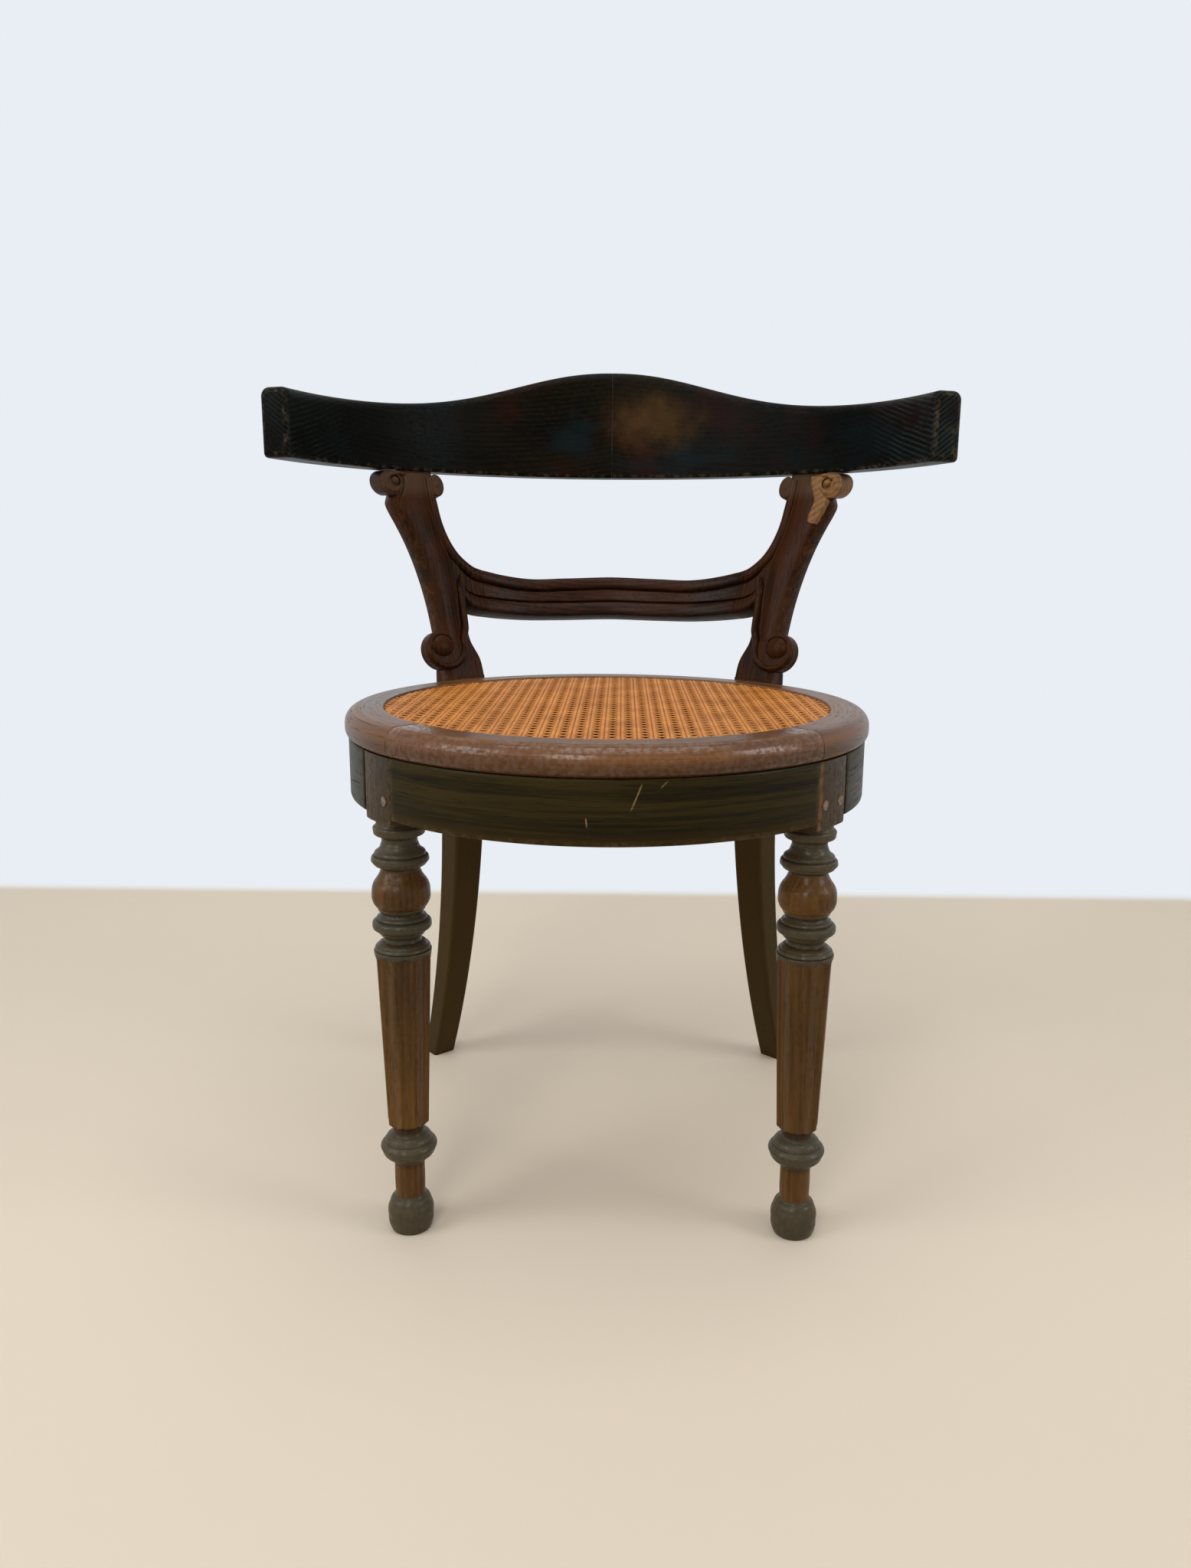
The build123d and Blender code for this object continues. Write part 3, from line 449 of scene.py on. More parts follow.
def scratches(place, colour):
    """A redder foot, by height, and three pale scratches, thin bands about slanting lines of X and Z."""
    red_foot = (0.048, 0.026, 0.005, 1)
    scratched = (0.24, 0.16, 0.075, 1)
    x = place.axis(0)
    z = place.axis(2)
    rough = place.noise(300.0, 2.0).step(0.35, 0.55)
    colour = (0.65 - z.step(0.380, 0.400) * 0.65).blend(colour, red_foot)
    for side, level, slope, reach in ((0.025, 0.421, 0.4, 0.012), (0.046, 0.431, 1.0, 0.003),
                                      (-0.012, 0.402, -0.1, 0.0045)):
        on_line = 1 - abs((x - side) - (z - level) * slope).step(0.0003, 0.0009)
        in_reach = 1 - abs(z - level).step(reach * 0.6, reach)
        colour = (on_line * in_reach * rough * 0.8).blend(colour, scratched)
    return colour


rail_front_oak = oak("rail oak", 1, *rail_colours, specular=0.07, wear=0.35, contrast=1.6,
                     marks=scratches, shine=0.03)
rail_side_oak = oak("side rail oak", 1, *rail_colours, specular=0.1, wear=0.35, contrast=1.6)
rail_rear_oak = oak("rear rail oak", -1, *rail_colours, specular=0.08, wear=0.35, contrast=1.6)
front_end = beside(leg_azimuth, block_half, -1)
side_start = beside(leg_azimuth, block_half, 1)
side_end = beside(rear_azimuth, rear_half, -1)
rear_start = beside(rear_azimuth, rear_half, 1)
rail_front = [arc_bar(rail_loop, rail_wear, -front_end, front_end, 80)]
rail_right = [arc_bar(rail_loop, rail_wear, side_start, side_end, 60)]
rail_rear = [arc_bar(rail_loop, rail_wear, rear_start, 360 - rear_start, 60)]
make("rail_front", rail_front, rail_front_oak, "rail_oak", "front_rail")
make("rail_right", rail_right, rail_side_oak, "rail_oak", "side_rail_right")
make("rail_left", mirrored(rail_right), rail_side_oak, "rail_oak", "side_rail_left")
make("rail_rear", rail_rear, rail_rear_oak, "rail_oak", "rear_rail")

# Rear legs: one oak plank each from the floor to the crest. A sabre leg, a block for the rails, a post
# through the ring, then a carved upright that flares into the back rail and ends in scrolls.
seat_height = 460.0
post_inner = 229.0
post_outer = 264.0
leg_middle = 244.0
leg_sweep = 66.0
leg_width = 39.0
leg_depth = 37.0
floor_width = 27.0
floor_depth = 24.0
back_lean = radians(17.0)
board_thickness = 23.0
upright_reach = 225.35
joint_place = 40.0


def on_upright(across, up, deep):
    """Points from distances across, up and behind the leaning face of an upright."""
    return turned(np.stack(np.broadcast_arrays(
        across, -post_inner - up * sin(back_lean) - deep * cos(back_lean),
        seat_height + up * cos(back_lean) - deep * sin(back_lean)), -1), rear_azimuth)


def sabre_leg():
    """A rounded rectangle that tapers down a circular sweep from the rails to the floor."""
    share = np.linspace(1, 0, 48)[:, None]
    bend = (rail_bottom ** 2 + leg_sweep ** 2) / (2 * leg_sweep)
    out = bend - np.sqrt(bend ** 2 - (rail_bottom * share) ** 2)
    loop = rounded([(-1, -1), (1, -1), (1, 1), (-1, 1)], [0.22] * 4, 72)
    across = loop[:, 0] * (leg_width - (leg_width - floor_width) * share) / 2
    deep = loop[:, 1] * (leg_depth - (leg_depth - floor_depth) * share) / 2 - 3 * (1 - share)
    height = np.broadcast_to(rail_bottom * (1 - share), across.shape)
    grid = np.stack([across, -leg_middle - out + deep, height], -1)
    return turned(grid, rear_azimuth), edges_of(loop)[None, :] * 0.8


def upright_block(width, inner, outer, low, high, slant=0.0):
    """A straight block with eased edges between two levels; its top rises backwards by the slant."""
    loop = rounded([(-width, -outer), (width, -outer), (width, -inner), (-width, -inner)], [2.5] * 4, 72)
    middle = loop.mean(0)
    outline = middle + (loop - middle) * np.array([0.975, 1, 1, 0.965])[:, None, None]
    behind = -inner - outline[..., 1:]
    level = np.array([low, low + 0.5, high - 0.8, high])[:, None, None]
    level = level + slant * behind * np.array([0, 0, 1, 1])[:, None, None]
    return turned(np.concatenate([outline, level], -1), rear_azimuth), edges_of(loop)[None, :] * 0.6


def smooth(points, at):
    """A smooth curve through pairs (place, value): cubics that share their slope where they meet."""
    place, value = np.array(points, float).T
    slope = np.gradient(value, place)
    index = np.clip(np.searchsorted(place, at) - 1, 0, len(place) - 2)
    width = place[index + 1] - place[index]
    share = np.clip((at - place[index]) / width, 0, 1)
    bend = share * share * (3 - 2 * share)
    left = slope[index] * width * share * (1 - share) ** 2
    right = slope[index + 1] * width * share ** 2 * (1 - share)
    return value[index] * (1 - bend) + value[index + 1] * bend + left - right


def outer_edge(up):
    """The outer edge of an upright, sweeping out from the post to the scroll at its top."""
    return smooth([(0, -21.6), (20, -22.4), (40, -23.8), (60, -23.8), (84, -24.8), (117, -28.8), (142, -34),
                   (160, -39.2), (178, -46), (190, -51), (198, -53), (206, -50), (214, -46), (230, -44)], up)


def face_edge(up):
    """Where the swelling middle of an upright begins, beside the outer edge and the scroll."""
    return smooth([(30, -22), (55, -23), (84, -24.2), (117, -28.2), (142, -33.4), (160, -38.4), (178, -45),
                   (190, -48.5), (198, -46.5), (206, -41), (214, -38.5), (230, -38)], up)


def inner_edge(up):
    """The inner edge of an upright without its flare, from the post up to the curl at its top."""
    return smooth([(-4, 20.4), (10, 20.5), (18, 20.0), (25, 18.2), (32, 15), (40, 11.6), (50, 10.2),
                   (62, 10.4), (80, 12.6), (100, 14), (122, 14), (142, 9.5), (158, 4), (175, 1), (191, 0),
                   (230, 0)], up)


def groove_edge(up):
    """Where the swelling middle of an upright ends against the beads along its inner edge."""
    return smooth([(30, -4), (60, -1), (80, 1.5), (100, 3.4), (116, 4), (130, 1.8), (142, -2), (158, -6.5),
                   (175, -10), (191, -11.6), (230, -12)], up)


def board(low, high, left, right, front, crown, back):
    """A board between two edge curves: its face swells by the crown times a power of a sine across, and its
    arrises are eased by quarter circles."""
    up = np.linspace(low, high, 130)[:, None]
    share = np.linspace(0, 1, 48)[None, :]
    ends = np.clip(np.minimum(up - low, high - up) / 12, 0, 1) ** 0.5
    ease = 2.2 * (1 - np.sqrt(1 - np.clip(1 - np.minimum(share, 1 - share) / 0.06, 0, 1) ** 2))
    deep = front - crown * ends * np.sin(np.pi * share) ** 0.55 + ease
    across = left(up) + (right(up) - left(up)) * share
    behind = left(up) + (right(up) - left(up)) * share[:, ::-1]
    grid = np.concatenate([on_upright(across, up, deep), on_upright(behind, up, back - ease[:, ::-1])], 1)
    arris = np.clip(1 - np.minimum(share, 1 - share) / 0.07, 0, 1) * 0.6
    return grid, np.concatenate([arris, arris], 1) * np.ones_like(up)


def rail_face(high, low, share):
    """Heights up, depths and wear of the back rail's moulded face, from its foot to its top.

    A rounded band at the foot, a groove, a shallow hollow band, a second groove and a bead at the top.
    The wear is negative in both grooves and along the lowest 6 mm of the foot, painting shade there.
    """
    up = low + (high - low) * share
    from_top = high - up
    from_foot = up - low
    bead = 3.0 * np.sqrt(np.clip(1 - ((from_top - 6.4) / 6.4) ** 2, 0, 1))
    foot = 2.8 * np.sqrt(np.clip(1 - ((from_foot - 7.6) / 7.6) ** 2, 0, 1))
    cuts = np.exp(-((from_top - 13.6) / 1.0) ** 2) + np.exp(-((from_foot - 16.0) / 1.0) ** 2)
    deep = 0.8 - bead - foot + 2.4 * cuts
    # Painted shade: negative wear in the grooves and along the foot, where the rail's underside is shaded.
    wear = np.clip(bead + foot - 2.4, 0, 0.6) * 0.5 - cuts - 0.8 * np.clip(1 - from_foot / 6, 0, 1)
    return up, deep, wear


def horn():
    """The flare that carries the back rail's mouldings on to the upright, between two curves of height."""
    across = np.linspace(5, joint_place - 0.05, 44)[:, None]
    high = smooth([(0, 158), (6, 152), (10, 143), (15, 134.5), (25, 125), (joint_place, 119.5),
                   (60, 116)], across)
    low = smooth([(0, 96), (13, 85.5), (18, 80), (26, 75.8), (joint_place, 72.4), (60, 70)], across)
    share = np.linspace(0, 1, 100)[None, :]
    up, deep, shade_and_soil = rail_face(high, low, share)
    behind = low + (high - low) * np.linspace(1, 0, 20)[None, :]
    back = on_upright(across, behind, board_thickness + 0 * behind)
    return np.concatenate([on_upright(across, up, deep), back], 1), np.concatenate([shade_and_soil, 0 * behind], 1)


def through(path):
    """A dense smooth line through points, each coordinate a curve of the distance along the chords."""
    path = np.array(path, float)
    length = np.concatenate([[0], np.cumsum(np.linalg.norm(np.diff(path, axis=0), axis=1))])
    dense = np.linspace(0, length[-1], 400)
    return np.stack([smooth(np.stack([length, path[:, axis]], -1), dense) for axis in range(2)], -1)


def bead_along(path, widths, rise, ground=1.2, shadow=False):
    """A rounded bead on the face of the upright through (across, up) points.

    Its width runs evenly between the given widths; narrow stretches sink. Its sides get negative wear,
    which paints shade where the bead meets the face; with shadow set, it is a thin line darkened all over
    as a painted shadow.
    """
    line = spaced(through(path), 160)
    ahead = np.gradient(line, axis=0)
    side = np.stack([-ahead[:, 1], ahead[:, 0]], -1) / np.linalg.norm(ahead, axis=1, keepdims=True)
    angle = np.linspace(0, 2 * np.pi, 28, endpoint=False)[None, :]
    width = np.interp(np.linspace(0, 1, 160), np.linspace(0, 1, len(widths)), widths)[:, None]
    flat = line[:, None, :] + side[:, None, :] * (np.cos(angle) * width / 2)[..., None]
    deep = ground - (rise + ground) * np.sin(angle) * (1 if shadow else np.minimum(1, width / 6))
    # The crown is lightly worn; the sides, where the bead meets the face, get painted shade.
    wear = np.clip(np.sin(angle) * 2 - 1.5, 0, 1) * 0.5 - np.clip(1 - np.abs(np.sin(angle)) * 2.5, 0, 1) * 0.9
    wear = -1 + 0 * angle if shadow else wear
    return on_upright(flat[..., 0], flat[..., 1], deep + 0 * width), wear * np.ones_like(width)


def spiral(across, up, first, last, start, end, wide=1.0):
    """Points about a place whose distance goes from first to last while the angle goes round in degrees.

    The turn is stretched sideways by wide.
    """
    turn = np.radians(np.linspace(start, end, 24))
    reach = np.linspace(first, last, 24)
    return np.stack([across + reach * np.cos(turn) * wide, up + reach * np.sin(turn)], -1).tolist()


def boss(across, up, radius, rise, depth, power=2.0, tall=1.0, level=0.0):
    """A round boss on the upright, with straight sides back to a depth.

    Its front is a dome, rise times (1 - share ** power) ** (1 / power), which is flatter for higher powers.
    The round is stretched upwards by tall. With level at 1 its sides run back level rather than square to
    the leaning face.
    """
    angle = np.linspace(0, 2 * np.pi, 96, endpoint=False)[None, :]
    share = np.concatenate([np.sin(np.linspace(0.03, np.pi / 2, 30)), [1.0]])[:, None]
    deep = -rise * np.clip(1 - share ** power, 0, 1) ** (1 / power) + 0 * angle
    deep[-1] = depth
    out = radius * share
    rim = np.clip(1 - np.abs(share - 0.93) / 0.06, 0, 1) * 0.6
    high = up + out * np.sin(angle) * tall + level * tan(back_lean) * np.clip(deep, 0, None)
    return on_upright(across + out * np.cos(angle), high, deep), rim * np.ones_like(angle)


curl = (1.4, 213.0)
foot_scroll = (-26.5, 34.4)
foot_eye = (-27.8, 38.0)
foot_drum = (-25.8, 34.0)
top_scroll = (-54.0, 214.2)
top_eye = (-50.0, 215.6)
inner_path = [
    (-5.8, 221), (-6.2, 210), (-6.0, 200), (-5.4, 190), (-4.4, 175), (-1.2, 159), (4.4, 144), (11, 133.2),
    (18.6, 125.2), (28, 118), (joint_place - 0.1, 113.2)]
foot_path = [(14, 113), (10.5, 101), (8.6, 90), (7.4, 77), (6.6, 66), (5.8, 56)]
foot_path += spiral(*foot_scroll, 23.4, 14.2, 10, -205, 1.15)
ridge_path = [
    (-12, 221), (-11.6, 191), (-10, 175), (-6.5, 158), (-2, 142), (1.8, 130), (3.6, 114), (3.0, 98),
    (1.4, 82), (-0.6, 68), (-1.6, 58)]
ridge_path += spiral(*foot_scroll, 20.5, 11.0, 22, -150, 1.12)
top_path = [
    (-34, 224.2), (-42, 224.6), (-50, 223.8), (-57, 221), (-60.9, 215.4), (-60, 209.4), (-55, 206.2),
    (-49, 206.6), (-44.4, 210.2)]
# Paths of the thin painted shadow lines that curl round the eyes of the scrolls.
foot_line = spiral(*foot_eye, 11.4, 11.4, 160, 30, 1.13)
top_line = spiral(*top_eye, 5.6, 5.6, 150, -60)
upright_right = [
    sabre_leg(),
    upright_block(rear_half, rail_inner, post_outer, rail_bottom - 0.5, ring_bottom),
    upright_block(20.6, post_inner + 0.8, post_outer + 2, ring_bottom - 2, seat_height + 2, 0.42),
    board(-3, upright_reach + 3.6, outer_edge, inner_edge, 1.2, 0.0, board_thickness),
    board(38, upright_reach + 1.5, face_edge, groove_edge, 0.4, 2.8, board_thickness - 4),
    horn(),
    bead_along(inner_path, (9, 12), 2.8),
    bead_along(ridge_path, (3, 4.5), 2.6),
    boss(*curl, 9.0, 2.4, 21.0, 5.0, 1.35),
    boss(*curl, 4.0, 3.6, 8.0, 2.0, 1.35),
    bead_along(foot_path, (9, 8, 8, 6.5), 4.2),
    boss(*foot_drum, 20.8, 1.6, 13.0, 6.0),
    boss(*foot_eye, 14.2, 6.8, 8.0, 2.0, 0.88),
    bead_along(foot_line, (0.8, 2.2, 1.2), 4.1, shadow=True),
]
outer_scroll = [
    bead_along(top_path, (3, 7, 11.5, 11, 7), 4.6),
    boss(*top_scroll, 13.6, 3.0, 19.0, 6.0, level=1.0),
    boss(*top_eye, 5.4, 7.0, 8.0),
    bead_along(top_line, (0.8, 1.8, 1.0), 5.2, shadow=True),
]
upright_colours = (0.0045, 0.0030, 0.0009, 1), (0.052, 0.016, 0.0035, 1), (0.16, 0.068, 0.02, 1)


def carved_marks(place, colour):
    """Red in clouds through the dark varnish; by height, paler scrolls at the top and an olive brown leg."""
    red = (0.046, 0.012, 0.002, 1)
    pale = (0.085, 0.054, 0.033, 1)
    olive = (0.050, 0.032, 0.008, 1)
    z = place.axis(2)
    colour = (place.noise(15.0, 2.0).step(0.38, 0.60) * 0.6).blend(colour, red)
    colour = (z.step(0.648, 0.662) * 0.45).blend(colour, pale)
    return (0.8 - z.step(0.40, 0.46) * 0.8).blend(colour, olive)


carved_finish = {"gloss": 0.36, "specular": 0.05, "wear": 0.45, "contrast": 0.8, "marks": carved_marks,
                 "shine": 0.02}
upright_right_oak = oak("carved oak right", (-68, 39, -76), *upright_colours, **carved_finish)
upright_left_oak = oak("carved oak left", (-68, -39, -104), *upright_colours, **carved_finish)
make("carved_upright_right", upright_right, upright_right_oak, "leg_oak", "rear_leg_right")
upright_left = mirrored(upright_right + outer_scroll)
make("carved_upright_left", upright_left, upright_left_oak, "leg_oak", "rear_leg_left")

# Repair: the right upright's outer scroll was broken off and replaced in a redder, paler wood, glued
# along a slanting line.
tongue_foot = 173.0
tongue_length = 51.0
tongue_width = 17.0
repair_colours = (0.065, 0.028, 0.007, 1), (0.25, 0.115, 0.032, 1), (0.32, 0.18, 0.07, 1)
repair_wood = oak("repair wood", (0, 80, 35), *repair_colours, gloss=0.45)


def repair_tongue():
    """The tongue of new wood below the scroll, laid on the upright's face and rounded at its lower end.

    Its width falls as the fourth root of 1 minus the share of its length to the fourth power.
    """
    climb = tongue_length * (1 - np.cos(np.linspace(0.02, np.pi / 2, 36)))[:, None]
    up = tongue_foot + climb
    share = (tongue_length - climb) / (tongue_length + 0.1)
    wide = tongue_width * np.clip(1 - share ** 4, 0, 1) ** 0.25
    loop = rounded([(0, 0), (1, 0), (1, 1), (0, 1)], [0.2] * 4, 48)
    across = outer_edge(up) + 0.2 + wide * loop[:, 0]
    deep = -2.9 + (board_thickness - 9) * loop[:, 1]
    return on_upright(across, np.broadcast_to(up, across.shape), np.broadcast_to(deep, across.shape)), 0.2


make("scroll_patch", outer_scroll + [repair_tongue()], repair_wood, "repair_wood", "scroll_repair")

# Back rail: one bowed, leaning oak moulding tenoned between the uprights, with a bead along its wavy
# top, two grooves and a rounded band at its foot.
rail_axis = joint_place / sin(radians(180 - rear_azimuth))
rail_radius = post_inner - joint_place / tan(radians(180 - rear_azimuth))


def back_rail():
    """The moulded face swept about the rail's upright axis, and its plain back."""
    half = 180 - rear_azimuth
    turn = np.radians(np.linspace(-half, half, 100))[:, None]
    wave = np.abs(turn) / radians(half)
    high = smooth([(-0.4, 110), (0, 110.6), (0.35, 109), (0.62, 108.6), (0.85, 114), (1, 119.5),
                   (1.2, 125)], wave)
    low = smooth([(-0.4, 66), (0, 66.6), (0.35, 65.6), (0.62, 66.2), (0.85, 69.2), (1, 72.4),
                  (1.2, 76)], wave)
    up, deep, shade_and_soil = rail_face(high, low, np.linspace(0, 1, 100)[None, :])
    behind = low + (high - low) * np.linspace(1, 0, 20)[None, :]
    up = np.concatenate([up, behind], 1)
    deep = np.concatenate([deep, board_thickness + 0 * behind], 1)
    radius = rail_radius + up * sin(back_lean) + deep * cos(back_lean)
    height = seat_height + up * cos(back_lean) - deep * sin(back_lean)
    grid = np.stack([radius * np.sin(turn), rail_axis + radius * np.cos(turn), height], -1)
    return grid, np.concatenate([shade_and_soil, 0 * behind], 1)


moulding_colours = (0.004, 0.003, 0.0015, 1), (0.052, 0.017, 0.007, 1), (0.10, 0.045, 0.018, 1)
moulding_oak = oak("moulding oak", (0, 0, 0), *moulding_colours, gloss=0.35, specular=0.08, wear=0.6,
                   contrast=0.8, shine=0.03)
make("moulded_back_rail", [back_rail()], moulding_oak, "rail_oak", "lower_back_rail")

# Seat ring: four bullnosed arcs of oak, butted with loose tongues in front of the front legs and over
# the rear posts, and rebated inside for the cane.
ring_inner = 191.0
ring_outer = 239.0
rebate_radius = 204.2
rebate_level = 454.0
ring_joint = 47.0
joint_gap = 0.03
ring_loop = rounded([(ring_inner, ring_bottom), (ring_outer, ring_bottom), (ring_outer, seat_height),
                     (rebate_radius, seat_height), (rebate_radius, rebate_level), (ring_inner, rebate_level)],
                    [0.6, 7.5, 12.5, 1.6, 0.5, 0.5], 120)
ring_wear = edges_of(ring_loop) * 0.6
ring_colours = (0.030, 0.012, 0.0035, 1), (0.20, 0.080, 0.022, 1), (0.25, 0.13, 0.05, 1)


def ring_marks(place, colour):
    """Clouds of redder polish, and a deep red brown as painted shade below the middle of the nose, by height.
    """
    polish = (0.105, 0.036, 0.012, 1)
    nose_underside_shade = (0.036, 0.014, 0.005, 1)
    low = 1 - place.axis(2).step(0.438, 0.452)
    colour = (place.noise(16.0, 3.0).step(0.45, 0.7) * 0.5).blend(colour, polish)
    # Painted shade: the lower half of the nose is darkened by height.
    return (low * 0.7).blend(colour, nose_underside_shade)


ring_finish = {"wear": 0.7, "contrast": 0.6, "marks": ring_marks}
ring_front_oak = oak("ring oak", 1, *ring_colours, gloss=0.32, specular=0.17, shine=0.6, **ring_finish)
ring_side_oak = oak("ring oak side", 1, *ring_colours, gloss=0.34, specular=0.24, **ring_finish)
ring_back_oak = oak("ring oak back", -1, *ring_colours, gloss=0.34, specular=0.24, **ring_finish)
front_joint = ring_joint - joint_gap
back_joint = rear_azimuth + joint_gap
ring_front = [arc_bar(ring_loop, ring_wear, -front_joint, front_joint, 110)]
ring_right = [arc_bar(ring_loop, ring_wear, ring_joint + joint_gap, rear_azimuth - joint_gap, 100)]
ring_back = [arc_bar(ring_loop, ring_wear, back_joint, 360 - back_joint, 100)]
make("ring_front", ring_front, ring_front_oak, "ring_oak", "seat_ring_front")
make("ring_right", ring_right, ring_side_oak, "ring_oak", "seat_ring_right")
make("ring_left", mirrored(ring_right), ring_side_oak, "ring_oak", "seat_ring_left")
make("ring_back", ring_back, ring_back_oak, "ring_oak", "seat_ring_back")

# Cane: split rattan woven six ways in the ring's rebate. Pairs run front to back and side to side,
# single strands run on both diagonals between the crossings, so that the holes are eight-sided, and
# each waves over and under the ones it crosses.
cane_radius = 203.8
cane_level = 458.2
cane_pitch = 12.85
strand_thickness = 0.42
pair_spread = 1.7


def strand_set(offsets, width, direction, level, wave, waves_per_pitch):
    """Flat ribbons of a width at given offsets, straight in one direction across the round seat.

    Along a strand the height is the level plus the wave times the cosine of its place, and its ends
    lie on the seat's circle.
    """
    heading = radians(direction)
    section = np.array([[-0.5, -0.3], [-0.25, 0.45], [0.25, 0.45], [0.5, -0.3]])
    shells = []
    for index, offset in enumerate(offsets):
        reach = np.sqrt(cane_radius ** 2 - offset ** 2)
        along = np.linspace(-reach, reach, max(8, int(reach / 1.15)))[:, None]
        height = level + wave * np.cos(2 * np.pi * waves_per_pitch * along / cane_pitch + np.pi * index)
        across = offset + section[:, 0] * width
        x = along * cos(heading) - across * sin(heading)
        y = along * sin(heading) + across * cos(heading)
        shells.append((np.stack([x, y, height + section[:, 1] * strand_thickness], -1), 0.0))
    return shells


def cane_skin(name, tint):
    """Split rattan in a tint: fine fibres and patches of darker age, both noise."""
    material, start = plain(name, roughness=0.5, coat=0.0, coat_roughness=0.25, specular=0.2)
    place = start.node("TexCoord", output=3)
    fibre = place.noise(900.0, 3.0)
    age = place.noise(26.0, 4.0)
    tone = (fibre - 0.5) * 0.9 + (age - 0.5) * 1.1 + 0.5
    pale = tuple(c * t for c, t in zip((0.72, 0.288, 0.056), tint)) + (1.0,)
    aged = tuple(c * t for c, t in zip((0.40, 0.136, 0.021), tint)) + (1.0,)
    tone.step(0.05, 0.95).blend(aged, pale).into("Base Color")
    (0.5 + (fibre - 0.5) * 0.3).into("Roughness")
    start.node("Bump", {}, {"Strength": 0.3, "Distance": 0.0002, "Height": fibre}).into("Normal")
    return material


pair = np.arange(-15, 16) * cane_pitch
pairs = np.sort(np.concatenate([pair - pair_spread, pair + pair_spread]))
slant = (np.arange(-22, 22) + 0.5) * cane_pitch / np.sqrt(2)
# One split rattan in three copies as painted shade: the front-to-back strands pale, the slanting ones darker
# and the lower side-to-side ones darkest.
cane_pale = cane_skin("cane pale", (1.0, 1.0, 1.0))
cane_shaded = cane_skin("cane shaded", (0.66, 0.58, 0.50))
cane_half_shaded = cane_skin("cane half shaded", (0.84, 0.78, 0.70))
slant_beat = np.sqrt(0.5)
for name, offsets, width, direction, lift, wave, beat, skin in (
        ("cane_front_to_back", pairs, 2.3, 90, 0.22, 0.12, 0.5, cane_pale),
        ("cane_side_to_side", pairs, 2.0, 0, -0.12, 0.12, 0.5, cane_shaded),
        ("cane_slant_right", slant, 2.0, 45, 0.05, 0.2, slant_beat, cane_half_shaded),
        ("cane_slant_left", slant, 2.0, -45, 0.05, 0.2, slant_beat, cane_half_shaded)):
    strands = strand_set(offsets, width, direction, cane_level + lift, wave, beat)
    make(name, strands, skin, "cane", "cane_panel")

# Crest rail: a wide bowed oak yoke in two halves glued at the middle, raised there and sinking to
# level arms. It is mortised on to the tops of the uprights.
crest_inner = 312.0
crest_outer = 342.0
crest_axis = -25.0
crest_base = 675.5
crest_rise = tan(radians(1.4))
crest_half_angle = 75.0
arm_height = 64.0
bell_height = 50.5
bell_width = 155.0
drawn_height = 80.0
end_turn = 1.35
end_round = 6.0


def crest_half():
    """A rounded section swept about the crest's axis; its height is a level plus a bell of the distance
    from the middle, and its last rows close in along a quarter circle to round the end."""
    quarter = np.linspace(0.15, np.pi / 2, 9)
    turn = np.concatenate([[0.0, 0.08], np.linspace(0.4, crest_half_angle - end_turn, 120),
                           crest_half_angle - end_turn * (1 - np.sin(quarter))])
    closing = np.concatenate([[0.3, 0.0], np.zeros(120), end_round * (1 - np.cos(quarter))])[:, None]
    angle = np.radians(turn)[:, None]
    half = (crest_outer - crest_inner) / 2
    centre_radius = (crest_inner + crest_outer) / 2
    out = centre_radius * np.sin(angle)
    tall = arm_height + bell_height * np.exp(-(out / bell_width) ** 2.2)
    loop = rounded([(-half, 0), (half, 0), (half, drawn_height), (-half, drawn_height)],
                   [3.0, 3.0, 8.0, 9.0], 150)
    radius = centre_radius + loop[:, 0] * (1 - closing / half)
    near_top = np.clip((loop[:, 1] - 20) / 50, 0, 1)
    lift = loop[:, 1] + (tall - drawn_height) * near_top
    lift = tall / 2 + (lift - tall / 2) * (1 - closing * 2 / tall)
    x = radius * np.sin(angle)
    y = crest_axis + radius * np.cos(angle)
    height = crest_base + (crest_axis + crest_outer - y) * crest_rise + lift
    edge = np.maximum(edges_of(loop)[None, :], np.clip(closing / 3, 0, 1) * (closing < 5.5))
    return [(np.stack([x, y, height], -1), edge * np.ones_like(x))]


crest_colours = (0.0013, 0.0014, 0.0009, 1), (0.011, 0.0076, 0.003, 1), (0.085, 0.058, 0.034, 1)


